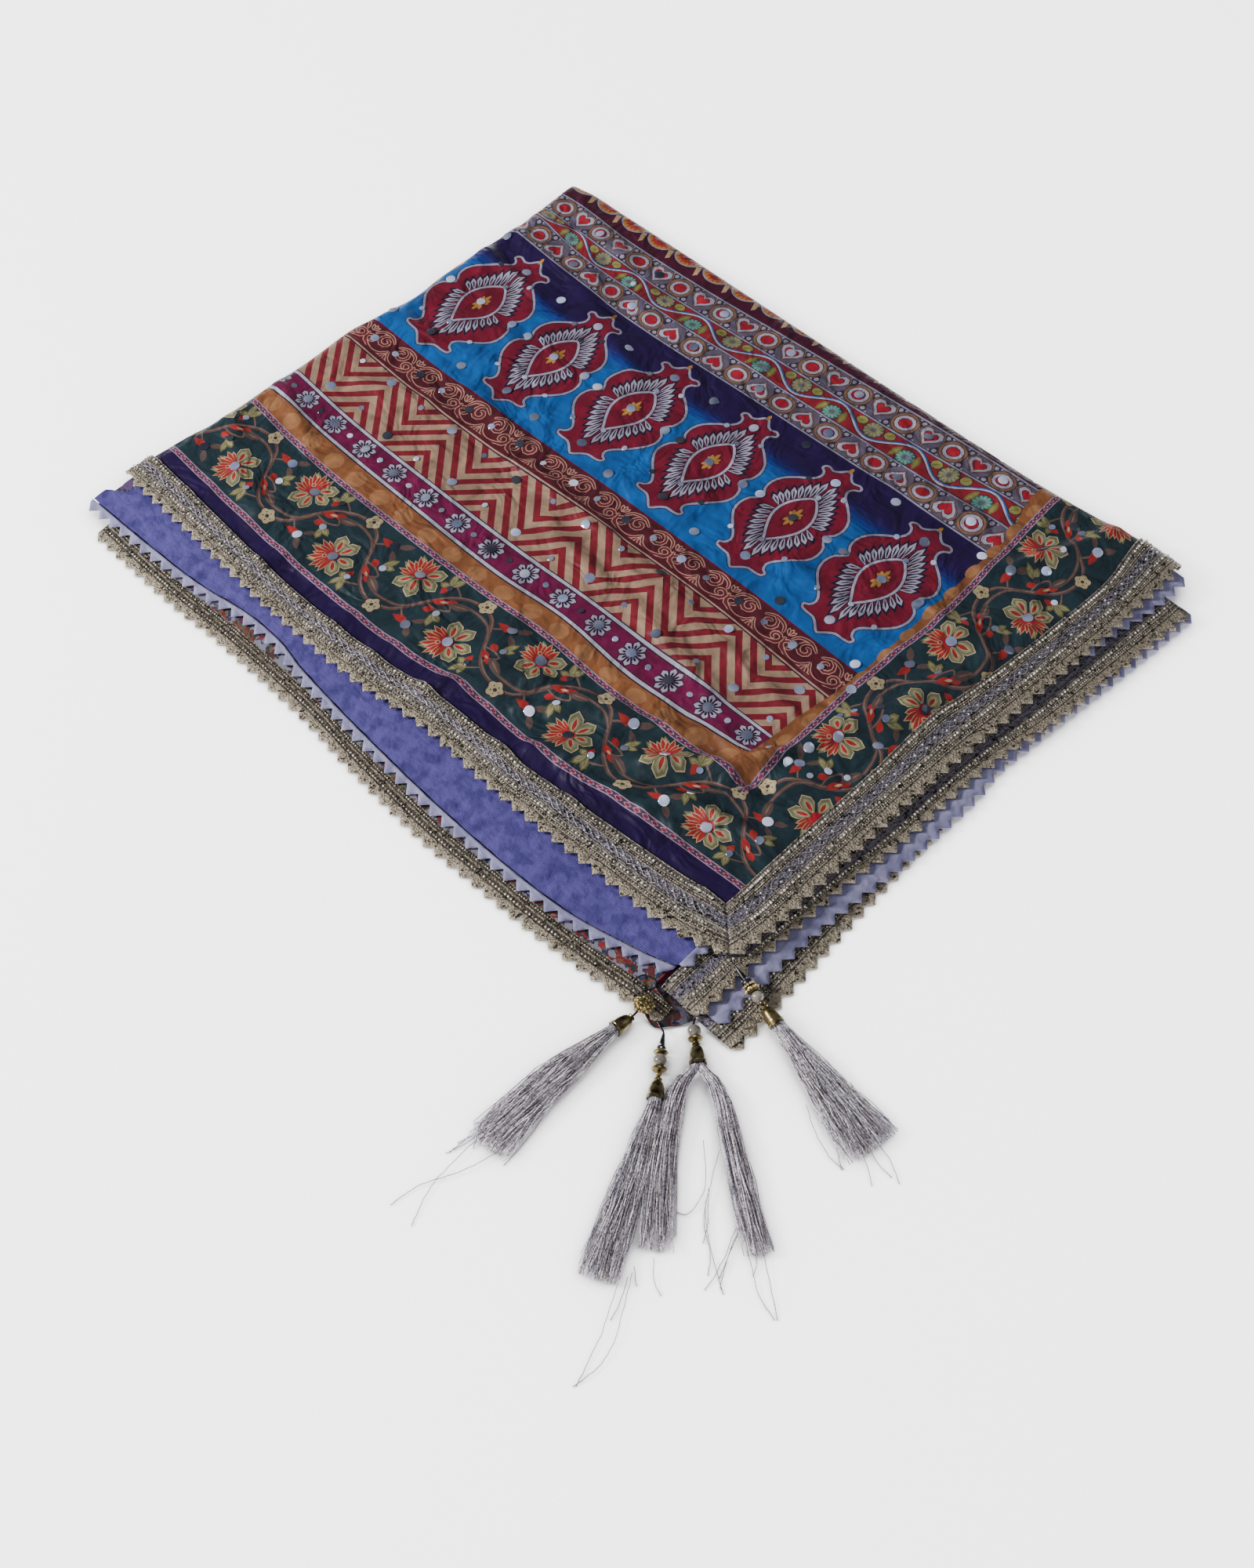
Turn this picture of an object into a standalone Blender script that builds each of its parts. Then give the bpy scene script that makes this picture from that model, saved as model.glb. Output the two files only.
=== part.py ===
"""Printed dupatta stole, folded small and lying flat.

The cloth is folded across its width and then along its length, so that
many layers lie on each other. X runs along the end hem, Y along the side
hem, Z up. All lengths in the tables are millimetres above the floor or
from the near corner of the top layer.
"""
import math

import bpy
import numpy as np
from mathutils import Vector

MM = 0.001

# Folded bundle
TOP_Z = 12.5
CLOTH = 1.2
THIN_CLOTH = 1.0
LACE = 1.0
GAP = 0.35
SEAM = 0.85
LACE_LIFT = 1.7
NOSE_X = 9.0
NOSE_Y = 11.0
NOSE_X_FOOT = 8.8
NOSE_Y_FOOT = 4.9
NOSE_TURN = math.radians(100)
NOSE_ARC = 1.45
NOSE_STEPS = 4
LEFT_REACH = -521
BACK_REACH = 400
PANEL_RIGHT = -11.0
LACE_OVERLAP = 13.0
TOOTH = 4.8
CORE_RIGHT = -3.0
STRIP_START = -1.5

# Outline of the top layer: where the width fold and the length fold lie
LEFT_FOLD = [(-30, -521.5), (0, -521), (20, -520), (40, -519), (60, -516.5), (100, -518),
             (140, -518.5), (180, -521.5), (205, -518.5), (235, -516), (262, -519),
             (300, -520), (340, -520), (380, -524), (410, -526)]
BACK_FOLD = [(-530, 399), (-495, 402.5), (-300, 402), (-110, 402), (-60, 405), (-25, 409), (20, 409)]

# Top lace: its sewn edge and the foot of its teeth, along X and along Y
END_SEWN = [(-530, 12), (-450, 6), (-370, 0.8), (-290, 2.8), (-242, 8), (-170, 9), (-90, 15), (-24, 21)]
END_FOOT = [(-530, -9.5), (-450, -12.5), (-370, -17.3), (-290, -17.3), (-234, -11.5), (-170, -13.5),
            (-90, -11.5), (-40, -9.5), (-22, -6), (-3, 1)]
SIDE_SEWN = [(17, -24.5), (75, -25.5), (150, -26), (205, -28), (225, -25), (275, -20.5), (310, -18.5),
             (360, -17.5), (392, -23), (420, -26)]
SIDE_FOOT = [(-4, -3.5), (10, 0), (30, 1.8), (75, 1), (120, 0), (160, 0), (205, 1.8), (250, 3.8),
             (290, 5.2), (330, 6.6), (370, 6), (420, 6)]

# How far the lace's inner edge draws back at the mitred corner
MITRE_END = 21.5
MITRE_SIDE = 20.5

# The top layer sinks towards the near hem and the side hem
HEM_DROP_END = 2.4
HEM_DROP_SIDE = 2.2
WAVE_BASE = 0.8
WAVE_LONG = 0.26
WAVE_SLANT = 0.18

# Creases of the top layer: two ends, height and half width
CREASES = [(-186, 8, -82, 92, 1.6, 9), (-82, 92, -40, 196, 1.6, 8), (-168, 6, -60, 98, -0.8, 6),
           (-252, 6, -226, 66, 1.2, 9), (-350, 172, -210, 165, 0.9, 6), (-210, 165, -86, 146, 0.9, 6),
           (-120, 40, -50, 66, 0.9, 8), (-42, 196, -30, 262, 1.3, 9), (-72, 226, -28, 292, 1.0, 8),
           (-76, 318, -34, 382, 1.0, 9), (-516, 330, -430, 318, 1.2, 10), (-504, 388, -420, 352, 0.8, 11),
           (-440, 334, -300, 346, 0.8, 12), (-515, 70, -440, 26, 0.9, 10), (-400, -6, -392, 30, 0.9, 9),
           (-330, -8, -322, 26, 0.7, 8), (-296, -8, -284, 34, 0.9, 9), (-140, 0, -118, 30, 0.9, 8),
           (-480, -4, -470, 24, 0.6, 8), (-300, 240, -180, 232, 0.6, 12), (-500, 210, -420, 226, 0.7, 12),
           (-160, 330, -96, 352, 0.7, 10)]

# Second layer, reverse side up: foot of the panel along X
REVERSE_FOOT = [(-530, -37), (-456, -36), (-415, -34), (-376, -28.5), (-345, -28.5), (-319, -33),
                (-254, -39), (-174, -43), (-93, -41), (-37, -29.5), (-17, -23)]
REVERSE_INNER = 22.0
REVERSE_RIGHT = -18.5
REVERSE_Z = [(0, 10.5), (0.36, 10.15), (0.68, 9.1), (1, 7)]
REVERSE_LEFT = -520.4
REVERSE_LEFT_INNER = -508.5
REVERSE_LIFT = 0.11
EDGING_Z = (6.95, 6.45)
EDGING_BAND = 2.2
EDGING_TOOTH = 5.4
EDGING_DROOP = 0.8
CORNER_RAISE = 0.8
BACK_EDGING_Z = 10.45
BACK_EDGING_OUT = (7.0, 13.5)

# Third layer, print side up: tips of its end lace along X
LOWER_TIPS = [(-530, -52), (-500, -55), (-420, -57), (-380, -55.5), (-298, -57), (-257, -61), (-217, -64),
              (-176, -66), (-136, -65), (-95, -64), (-55, -61), (-18, -57), (0, -55)]
LOWER_LACE_WIDTH = 12.4
LOWER_TOOTH = 4.2
LOWER_INNER = 3.0
LOWER_Z = [(0, 8.1), (0.5, 6.9), (1, 4.1)]
LOWER_LEFT = -517.0
LOWER_RIGHT = (-20.5, -5.0)
LOWER_NEAR_DROP = 0.9
LOWER_LACE_Z = (3.8, 1.9)

# Side hems of the layers below: foot of the teeth along Y, and heights
MIDDLE_FOOT = [(-40, 8), (-20, 8.2), (3, 7), (28, 8), (79, 9.3), (104, 11.6), (129, 13.7), (180, 13.7),
               (205, 15.2), (230, 18.7), (255, 22.7), (300, 25.3), (356, 28.8), (384, 30.5)]
MIDDLE_INNER = [(-40, -17), (-3, -17), (0.5, -16.6), (6.5, -2.6), (9, STRIP_START), (12, STRIP_START),
                (384, STRIP_START)]
BASE_TEETH_FOOT = [(-40, 34.4), (-20, 33.7), (5, 31.5), (30, 29.6), (55, 27.4), (80, 25.6), (105, 24),
                   (130, 22.4), (205, 17.4), (257, 20.4), (384, 28)]
PALE_FOOT = [(-40, 19.6), (30, 17.4), (55, 18.2), (80, 19.8), (105, 22.2), (131, 23.2), (181, 23.2),
             (206, 20.2), (232, 21.8), (257, 23.2), (302, 27.2), (384, 32.4)]
FOLD_Y = -37.5
FOLD_REACH = 8.0

# Heights of the side hems: at the sewn edge and at the foot of the teeth,
# along the side and then beside the near corner
MIDDLE_Z = (8.4, 6.7)
MIDDLE_NEAR_Z = (8.0, 6.4)
MIDDLE_FOLD_Z = 4.6
MIDDLE_BACK_RISE = 0.7
PALE_Z = (5.9, 4.4)
PALE_NEAR_Z = (4.1, 3.75)
BASE_Z = (2.7, 1.65)
HEM_DROOP = 0.35

# Hidden layers: height, then how far the core stands in from the left,
# right and back folds, and the place of its front
CORE_RINGS = [(0.0, 3.4, 2.0, 3.0, -34.0), (0.6, 1.6, 0.4, 1.4, -36.6), (1.7, 1.4, 0.0, 1.0, -37.2),
              (2.1, 2.8, 1.2, 2.2, -35.5), (2.6, 1.4, 0.0, 0.8, -36.2), (3.7, 1.2, 0.2, 1.3, -29.5),
              (4.2, 2.8, 1.2, 3.6, -26.0), (4.8, 1.2, 0.0, 2.6, -21.0), (5.8, 1.4, 0.2, 2.1, -5.0),
              (6.4, 3.0, 1.4, 2.2, 7.6), (7.4, 1.5, 0.2, 2.4, 8.2), (8.3, 3.2, 0.4, 3.0, 9.2),
              (8.8, 4.0, 1.0, 3.8, 10.5), (9.3, 4.4, 4.5, 4.6, 31.0), (10.7, 8.5, 21.0, 8.5, 36.0),
              (11.0, 13.0, 29.0, 14.0, 41.0)]
CORE_CORNER = 9.0

# Colours: red, green, blue, roughness, metallic
PRINT = (0.10, 0.05, 0.16, 0.45, 0.0)
GOLD_LACE = (0.42, 0.38, 0.30, 0.4, 0.6)
LAVENDER = (0.30, 0.26, 0.58, 0.6, 0.0)
PALE = (0.52, 0.50, 0.72, 0.6, 0.0)
BRASS = (0.36, 0.30, 0.17, 0.3, 1.0)
PEARL = (0.66, 0.60, 0.56, 0.25, 0.2)
GUNMETAL = (0.10, 0.10, 0.11, 0.4, 0.8)
SILVER_THREAD = (0.42, 0.40, 0.46, 0.5, 0.1)

# Tassels: place of the small end and of the mouth of each bell cap
CAP_PROFILE = [(0, 12.4), (4.3, 12.4), (4.85, 11.9), (4.5, 8.6), (3.9, 5.0), (3.0, 2.2), (1.9, 0.5), (0, 0)]
CAPS = {"tassel_one_cap": ((-15.2, -61.6, 5.0), (-16.6, -74.0, 5.0)),
        "tassel_two_cap": ((19.95, -78.3, 5.0), (27.3, -88.3, 5.0)),
        "tassel_three_cap": ((19.9, -49.5, 5.0), (29.1, -57.6, 5.0)),
        "tassel_four_cap": ((31.0, -8.4, 7.1), (43.1, -10.9, 5.5))}
CAP_LENGTH = 12.4
CAP_SIDES = 12
BEAD_SIDES = 12

# Bead rows: the ends of each row's axis and its profile of radius and place
BEADS = {"tassel_one_bead": ((-15.8, -50.8, 6.7), (-15.4, -54.8, 6.1),
                             [(0, 4.0), (1.9, 3.8), (3.6, 2.6), (3.6, 1.4), (1.9, 0.2), (0, 0)], BRASS),
         "tassel_two_cone": ((3.2, -56.6, 4.0), (9.2, -64.9, 4.6),
                             [(0, 10.2), (2.0, 10.2), (2.3, 9.4), (0.7, 0.6), (0, 0)], GUNMETAL),
         "tassel_two_beads": ((9.45, -65.2, 4.65), (20.0, -78.3, 4.9),
                              [(0, 16.4), (1.6, 16.3), (1.5, 14.0), (4.2, 12.7), (3.3, 11.2),
                               (4.1, 8.0), (3.4, 4.8), (4.2, 3.4), (2.0, 0.4), (0, 0)], PEARL),
         "tassel_three_beads": ((11.4, -42.6, 5.0), (19.7, -49.3, 5.0),
                                [(0, 10.5), (1.7, 10.4), (1.9, 9.0), (4.3, 7.8), (3.4, 6.6),
                                 (4.0, 4.0), (3.2, 1.0), (0, 0)], PEARL),
         "tassel_four_beads": ((0.0, -1.5, 10.6), (30.6, -8.2, 7.3),
                               [(0, 31.4), (1.5, 31.2), (1.6, 29.2), (3.5, 27.8), (2.2, 26.6),
                                (3.3, 23.8), (2.0, 21.0), (3.0, 18.0), (1.8, 15.2), (0.8, 14.6),
                                (0.8, 0), (0, 0)], PEARL)}

# Threads that tie the tassels to the corners, from end to end
TIES = {"tassel_one_tie": ((-15.4, -55.2, 6.0), (-15.2, -61.2, 5.1)),
        "tassel_two_tie": ((-4.4, -53.3, 2.1), (2.9, -56.3, 3.9)),
        "tassel_three_tie": ((8.6, -38.3, 4.3), (11.1, -42.2, 4.9))}
TIE_RADIUS = 0.8
TIE_SIDES = 8

# Strand bundles, each with a head of its own: the cap that the head sits in,
# how far it stands to the side in there, its radius, the rows of strands in
# a quarter of it, and then the centre, half width and half height of the
# bundle at each station past the head
BUNDLES = {
    "tassel_one_strands": ("tassel_one_cap", 0.0, 3.7, 3, [
        (-18.9, -106, 4.7, 7.8, 3.3), (-18.6, -137, 4.0, 9.8, 2.8), (-17.0, -168, 3.4, 11.2, 2.3)]),
    "tassel_two_strands": ("tassel_two_cap", 0.0, 3.7, 3, [
        (41.5, -114, 4.6, 6.4, 3.2), (56.0, -142, 4.0, 8.2, 2.8), (74.0, -178, 3.4, 9.8, 2.3)]),
    "tassel_three_left_strands": ("tassel_three_cap", -2.2, 2.85, 2, [
        (32.0, -76, 4.8, 3.6, 3.2), (50.0, -105, 4.2, 6.6, 2.8), (84.0, -147, 3.4, 9.2, 2.3)]),
    "tassel_three_right_strands": ("tassel_three_cap", 2.2, 2.85, 2, [
        (49.0, -62, 4.8, 3.4, 3.2), (80.0, -83, 4.2, 5.6, 2.8), (122.0, -112, 3.4, 7.4, 2.3)]),
    "tassel_four_strands": ("tassel_four_cap", 0.0, 3.7, 3, [
        (72.0, -17.0, 4.9, 7.2, 3.2), (99.0, -22.5, 4.1, 11.0, 2.7), (126.0, -27.5, 3.4, 14.6, 2.3)])}
STRAND_SECTORS = 4
STRAND_INSET = 0.72
STRAND_UNEVEN = 0.07
HEAD_DEPTH = 1.3

# One stray strand of a bundle: its number and its extra length, as a share
# of its last stretch
STRAYS = {"tassel_one_strands": (34, 0.7), "tassel_two_strands": (34, 0.6)}


def curve(table, at):
    """Value at one place on the smooth curve through a short table."""
    keys = [row[0] for row in table]
    values = [row[1] for row in table]
    at = min(max(at, keys[0]), keys[-1])
    index = min(max(int(np.searchsorted(keys, at)) - 1, 0), len(keys) - 2)
    slopes = []
    for i in (index, index + 1):
        low = max(i - 1, 0)
        high = min(i + 1, len(keys) - 1)
        slopes.append((values[high] - values[low]) / (keys[high] - keys[low]))
    span = keys[index + 1] - keys[index]
    t = (at - keys[index]) / span
    return (values[index] * (2 * t ** 3 - 3 * t ** 2 + 1)
            + slopes[0] * span * (t ** 3 - 2 * t ** 2 + t)
            + values[index + 1] * (3 * t ** 2 - 2 * t ** 3)
            + slopes[1] * span * (t ** 3 - t ** 2))


def mix(a, b, t):
    """Value between a and b."""
    return a + (b - a) * t


def ease(t):
    """Smooth step from 0 to 1."""
    t = min(max(t, 0.0), 1.0)
    return t * t * (3 - 2 * t)


def relief(x, y):
    """Height of the top layer's soft waves and creases."""
    height = WAVE_BASE + WAVE_LONG * math.sin(x / 61 + 0.6) * math.sin(y / 47 + 1.1)
    height += WAVE_SLANT * math.sin((x + 1.7 * y) / 38)
    for x0, y0, x1, y1, rise, half in CREASES:
        length = math.hypot(x1 - x0, y1 - y0)
        along = ((x - x0) * (x1 - x0) + (y - y0) * (y1 - y0)) / length
        across = ((x - x0) * (y1 - y0) - (y - y0) * (x1 - x0)) / length
        beyond = max(-along, along - length, 0.0)
        height += rise * math.exp(-(across / half) ** 2 - (beyond / (1.6 * half)) ** 2)
    return max(height, 0.1)


def top_point(x, y):
    """Outer face of the top layer, rolled down at the two folds.

    Beyond the start of a fold, x or y counts the way along the cloth.
    """
    left = curve(LEFT_FOLD, min(y, BACK_REACH))
    back = curve(BACK_FOLD, max(x, LEFT_REACH))
    start_x = left + NOSE_X
    start_y = back - NOSE_Y
    fall_x = fall_y = 0.0
    flat_x = max(x, start_x)
    flat_y = min(y, start_y)
    height = TOP_Z + relief(flat_x, flat_y)
    height -= HEM_DROP_END * ease((24 - flat_y) / 48)
    height -= HEM_DROP_SIDE * ease((flat_x + 28) / 44)
    if x < start_x:
        turn = NOSE_TURN * min((start_x - x) / (NOSE_ARC * NOSE_X), 1.0)
        fall_x = (height - NOSE_X_FOOT) * (1 - math.cos(turn)) / (1 - math.cos(NOSE_TURN))
        flat_x = start_x - NOSE_X * math.sin(turn)
    if y > start_y:
        turn = NOSE_TURN * min((y - start_y) / (NOSE_ARC * NOSE_Y), 1.0)
        fall_y = (height - NOSE_Y_FOOT) * (1 - math.cos(turn)) / (1 - math.cos(NOSE_TURN))
        flat_y = start_y + NOSE_Y * math.sin(turn)
    return Vector((flat_x, flat_y, height - math.hypot(fall_x, fall_y)))


def top_raised(x, y, lift):
    """Point of the top layer moved out along its normal."""
    step = 1.5
    along_x = top_point(x + step, y) - top_point(x - step, y)
    along_y = top_point(x, y + step) - top_point(x, y - step)
    return top_point(x, y) + along_x.cross(along_y).normalized() * lift


def make_material(name, colour):
    """Principled material from a row of colour, roughness and metallic."""
    material = bpy.data.materials.new(name)
    material.use_nodes = True
    shader = material.node_tree.nodes["Principled BSDF"]
    shader.inputs["Base Color"].default_value = (*colour[:3], 1)
    shader.inputs["Roughness"].default_value = colour[3]
    shader.inputs["Metallic"].default_value = colour[4]
    material.diffuse_color = (*colour[:3], 1)
    return material


def add_mesh(name, points, faces, colour):
    """Object from points in millimetres, shaded smooth."""
    mesh = bpy.data.meshes.new(name)
    mesh.from_pydata([Vector(p) * MM for p in points], [], faces)
    mesh.update()
    mesh.shade_smooth()
    item = bpy.data.objects.new(name, mesh)
    item.data.materials.append(make_material(name, colour))
    stole.objects.link(item)
    return item


def add_cloth(name, points, faces, wall, colour):
    """Open surface given a wall below it."""
    item = add_mesh(name, points, faces, colour)
    shell = item.modifiers.new("wall", "SOLIDIFY")
    shell.thickness = wall * MM
    shell.offset = -1
    return item


def add_sheet(name, columns, wall, colour):
    """Cloth from columns of points, all of one length."""
    rows = len(columns[0])
    points = [p for column in columns for p in column]
    faces = []
    for i in range(len(columns) - 1):
        for j in range(rows - 1):
            a = i * rows + j
            faces.append((a, a + rows, a + rows + 1, a + 1))
    return add_cloth(name, points, faces, wall, colour)


def add_toothed(name, place, start, end, teeth, cells, wall, colour, lead=(), tail=()):
    """Strip with a row of triangular teeth.

    place(s, w) gives the point at s along the strip and w across it, from
    0 at the inner edge to 1 at the foot of the teeth and 2 at the tips.
    lead and tail are places without teeth, where the strip rolls over.
    """
    rows = cells + 1
    toothed = [mix(start, end, i / teeth) for i in range(teeth + 1)]
    stations = [*lead, *toothed, *tail]
    points = [place(s, j / cells) for s in stations for j in range(rows)]
    faces = []
    for i in range(len(stations) - 1):
        for j in range(cells):
            a = i * rows + j
            faces.append((a, a + 1, a + rows + 1, a + rows))
    for i in range(teeth):
        foot = (i + len(lead)) * rows + cells
        points.append(place((toothed[i] + toothed[i + 1]) / 2, 2))
        faces.append((foot, len(points) - 1, foot + rows))
    return add_cloth(name, points, faces, wall, colour)


def strip_line(inner, foot, tooth, drop):
    """Place function of a strip between two lines, with teeth beyond."""
    def place(s, w):
        a = Vector(inner(s))
        b = Vector(foot(s))
        if w <= 1:
            return a.lerp(b, w)
        out = (b - a).normalized() * tooth
        return b + out - Vector((0, 0, drop))
    return place


def build_top_panel():
    """Top cloth, rolled down at the width fold and the length fold."""
    nose = NOSE_STEPS
    across = 27
    deep = 21
    columns = []
    for i in range(-nose, across + 1):
        column = []
        for j in range(deep + nose + 1):
            y_guess = mix(0, 390, min(j / deep, 1))
            start_x = curve(LEFT_FOLD, y_guess) + NOSE_X
            x = mix(start_x, PANEL_RIGHT, i / across) if i > 0 else start_x + i * NOSE_ARC * NOSE_X / nose
            flat_x = max(x, start_x)
            start_y = curve(BACK_FOLD, flat_x) - NOSE_Y
            front = curve(END_SEWN, flat_x) - LACE_OVERLAP
            y = mix(front, start_y, min(j / deep, 1))
            if j > deep:
                y = start_y + (j - deep) * NOSE_ARC * NOSE_Y / nose
            column.append(top_point(x, y))
        columns.append(column)
    add_sheet("top_panel", columns, CLOTH, PRINT)


def build_top_lace():
    """Lace on the two hems of the top layer, mitred at the near corner."""
    def end_place(s, w):
        flat = max(s, curve(LEFT_FOLD, 0) + NOSE_X)
        sewn = curve(END_SEWN, flat)
        foot = curve(END_FOOT, flat)
        slide = MITRE_END * ease((s + 60) / 57) * (1 - min(w, 1))
        y = mix(sewn, foot, min(w, 1)) - (TOOTH if w > 1 else 0)
        return top_raised(s - slide, y, LACE_LIFT)

    def side_place(s, w):
        sewn = curve(SIDE_SEWN, s)
        foot = curve(SIDE_FOOT, s)
        slide = MITRE_SIDE * ease((58 - s) / 57) * (1 - min(w, 1))
        x = mix(sewn, foot, min(w, 1)) + (TOOTH if w > 1 else 0)
        return top_raised(x, s + slide, LACE_LIFT)

    start = curve(LEFT_FOLD, 0) + NOSE_X
    lead = [start - NOSE_ARC * NOSE_X * k / NOSE_STEPS for k in range(NOSE_STEPS, 0, -1)]
    add_toothed("top_lace_end", end_place, start, -3.3, 49, 2, LACE, GOLD_LACE, lead=lead)
    end = curve(BACK_FOLD, 0) - NOSE_Y
    tail = [end + NOSE_ARC * NOSE_Y * k / NOSE_STEPS for k in range(1, NOSE_STEPS + 1)]
    add_toothed("top_lace_side", side_place, 1.2, end, 37, 2, LACE, GOLD_LACE, tail=tail)


def reverse_rise(x):
    """Extra height of the second layer's seam where it lies further in."""
    return REVERSE_LIFT * max(curve(REVERSE_FOOT, x) + 37, 0)


def reverse_point(x, f):
    """Second layer: f runs from its hidden edge to its seam."""
    foot = curve(REVERSE_FOOT, x)
    return Vector((x, mix(REVERSE_INNER, foot, f), curve(REVERSE_Z, f) + reverse_rise(x) * f))


def build_reverse_panel():
    """Second layer, reverse side up, with its pale toothed edging."""
    across = 29
    columns = []
    for i in range(across + 1):
        column = []
        for f in (1, 0.85, 0.68, 0.36, 0):
            left = mix(REVERSE_LEFT_INNER, REVERSE_LEFT, ease((f - 0.68) / 0.17))
            x = mix(left, REVERSE_RIGHT, i / across)
            column.append(reverse_point(x, f))
        columns.append(column)
    add_sheet("reverse_panel", columns, THIN_CLOTH, LAVENDER)

    def end_place(s, w):
        y = curve(REVERSE_FOOT, s) - SEAM - EDGING_BAND * min(w, 1)
        z = mix(*EDGING_Z, min(w, 1)) + reverse_rise(s)
        if w > 1:
            y -= EDGING_TOOTH
            z -= EDGING_DROOP
        return Vector((s, y, z))

    add_toothed("reverse_edging_end", end_place, -520.2, -18.6, 49, 1, THIN_CLOTH, PALE)

    def corner_place(s, w):
        x = REVERSE_RIGHT + GAP + EDGING_BAND * min(w, 1)
        if w > 1:
            x += EDGING_TOOTH - 0.6
        f = (REVERSE_INNER - s) / (REVERSE_INNER - curve(REVERSE_FOOT, REVERSE_RIGHT))
        z = curve(REVERSE_Z, min(f, 1)) + reverse_rise(REVERSE_RIGHT) * f + CORNER_RAISE
        return Vector((x, s, z))

    add_toothed("reverse_edging_corner", corner_place, -22.6, -2.4, 2, 1, THIN_CLOTH, PALE)

    def back_place(s, w):
        z = BACK_EDGING_Z - 0.35 * w
        out = mix(*BACK_EDGING_OUT, ease((s - 322) / 50))
        return Vector((mix(STRIP_START, out, min(w, 1)) + (TOOTH if w > 1 else 0), s, z))

    add_toothed("reverse_edging_back", back_place, 306, 401, 9, 1, THIN_CLOTH, PALE)


def lower_outer(x):
    """Line where the third layer's cloth meets its end lace."""
    return curve(LOWER_TIPS, x) + LOWER_LACE_WIDTH + LOWER_TOOTH


def build_lower_layer():
    """Third layer: printed cloth and its end lace, falling to the floor."""
    across = 26
    columns = []
    for i in range(across + 1):
        column = []
        for f in (1, 0.93, 0.8, 0.5, 0):
            right = mix(*LOWER_RIGHT, ease((f - 0.86) / 0.1))
            x = mix(LOWER_LEFT, right, i / across)
            y = mix(LOWER_INNER, lower_outer(x) + SEAM, f)
            near = ease((x + 40) / 14)
            if f > 0.7:
                y = min(y, mix(y, -38.8 - 12 * (f - 0.8), near))
            z = curve(LOWER_Z, f) - LOWER_NEAR_DROP * near * ease((f - 0.6) / 0.4)
            column.append(Vector((x, y, z)))
        columns.append(column)
    add_sheet("lower_panel", columns, THIN_CLOTH, PRINT)

    def inner(s):
        y = lower_outer(s)
        return (s, min(y, mix(y, -41.8, ease((s + 40) / 14))), LOWER_LACE_Z[0])

    def foot(s):
        return (s, curve(LOWER_TIPS, s) + LOWER_TOOTH, LOWER_LACE_Z[1])

    place = strip_line(inner, foot, LOWER_TOOTH, -0.15)
    add_toothed("lower_lace", place, -499, -3.5, 50, 1, LACE, GOLD_LACE)


def folded_end(s, high, low):
    """Height of a side hem that rolls over the fold at its near end."""
    t = min(max((s - FOLD_Y) / FOLD_REACH, 0.0), 1.0)
    return mix(low, high, math.sqrt(1 - (1 - t) ** 2))


def build_side_hems():
    """Side hems of the layers below, each further out than the last."""
    def middle(s, w):
        near = ease((14 - s) / 18)
        inner = curve(MIDDLE_INNER, s)
        foot = curve(MIDDLE_FOOT, s)
        high = mix(mix(*MIDDLE_Z, min(w, 1)), mix(*MIDDLE_NEAR_Z, min(w, 1)), near)
        x = mix(inner, foot, min(w, 1)) + (TOOTH if w > 1 else 0)
        z = folded_end(s, high - (HEM_DROOP if w > 1 else 0), MIDDLE_FOLD_Z)
        return Vector((x, s, z + MIDDLE_BACK_RISE * ease((s - 366) / 18)))

    add_toothed("middle_lace", middle, FOLD_Y, 381, 39, 2, LACE, GOLD_LACE)

    def pale(s, w):
        near = ease((14 - s) / 18)
        foot = curve(PALE_FOOT, s)
        high = mix(mix(*PALE_Z, min(w, 1)), mix(*PALE_NEAR_Z, min(w, 1)), near)
        x = mix(STRIP_START, foot, min(w, 1)) + (TOOTH if w > 1 else 0)
        return Vector((x, s, high - (HEM_DROOP if w > 1 else 0)))

    add_toothed("middle_edging", pale, -32, 384, 39, 1, THIN_CLOTH, PALE)

    def base(s, w):
        foot = curve(BASE_TEETH_FOOT, s)
        high = mix(*BASE_Z, min(w, 1))
        x = mix(STRIP_START, foot, min(w, 1)) + (TOOTH if w > 1 else 0)
        return Vector((x, s, high - (HEM_DROOP if w > 1 else 0)))

    add_toothed("base_lace", base, FOLD_Y, 382, 39, 1, LACE, GOLD_LACE)


def ring_points(level):
    """Outline of the core at one height, with rounded corners."""
    height, left, right, back, front = level
    side = 7
    corner = 3
    points = []

    def place(u, v):
        x_left = curve(LEFT_FOLD, max(mix(front, BACK_REACH, v), 0)) + left
        x = mix(x_left, CORE_RIGHT - right, u)
        y_back = curve(BACK_FOLD, x) - back
        return x, mix(front, y_back, v)

    def arc(cx, cy, start):
        for k in range(corner + 1):
            angle = start + math.pi / 2 * k / corner
            x, y = place(cx, cy)
            inward_x = CORE_CORNER if cx == 0 else -CORE_CORNER
            inward_y = CORE_CORNER if cy == 0 else -CORE_CORNER
            points.append((x + inward_x + CORE_CORNER * math.cos(angle),
                           y + inward_y + CORE_CORNER * math.sin(angle), height))

    def edge(u0, v0, u1, v1):
        for k in range(1, side):
            t = mix(0.03, 0.97, k / side)
            points.append((*place(mix(u0, u1, t), mix(v0, v1, t)), height))

    arc(0, 0, math.pi)
    edge(0, 0, 1, 0)
    arc(1, 0, 1.5 * math.pi)
    edge(1, 0, 1, 1)
    arc(1, 1, 0)
    edge(1, 1, 0, 1)
    arc(0, 1, 0.5 * math.pi)
    edge(0, 1, 0, 0)
    return points


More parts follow.
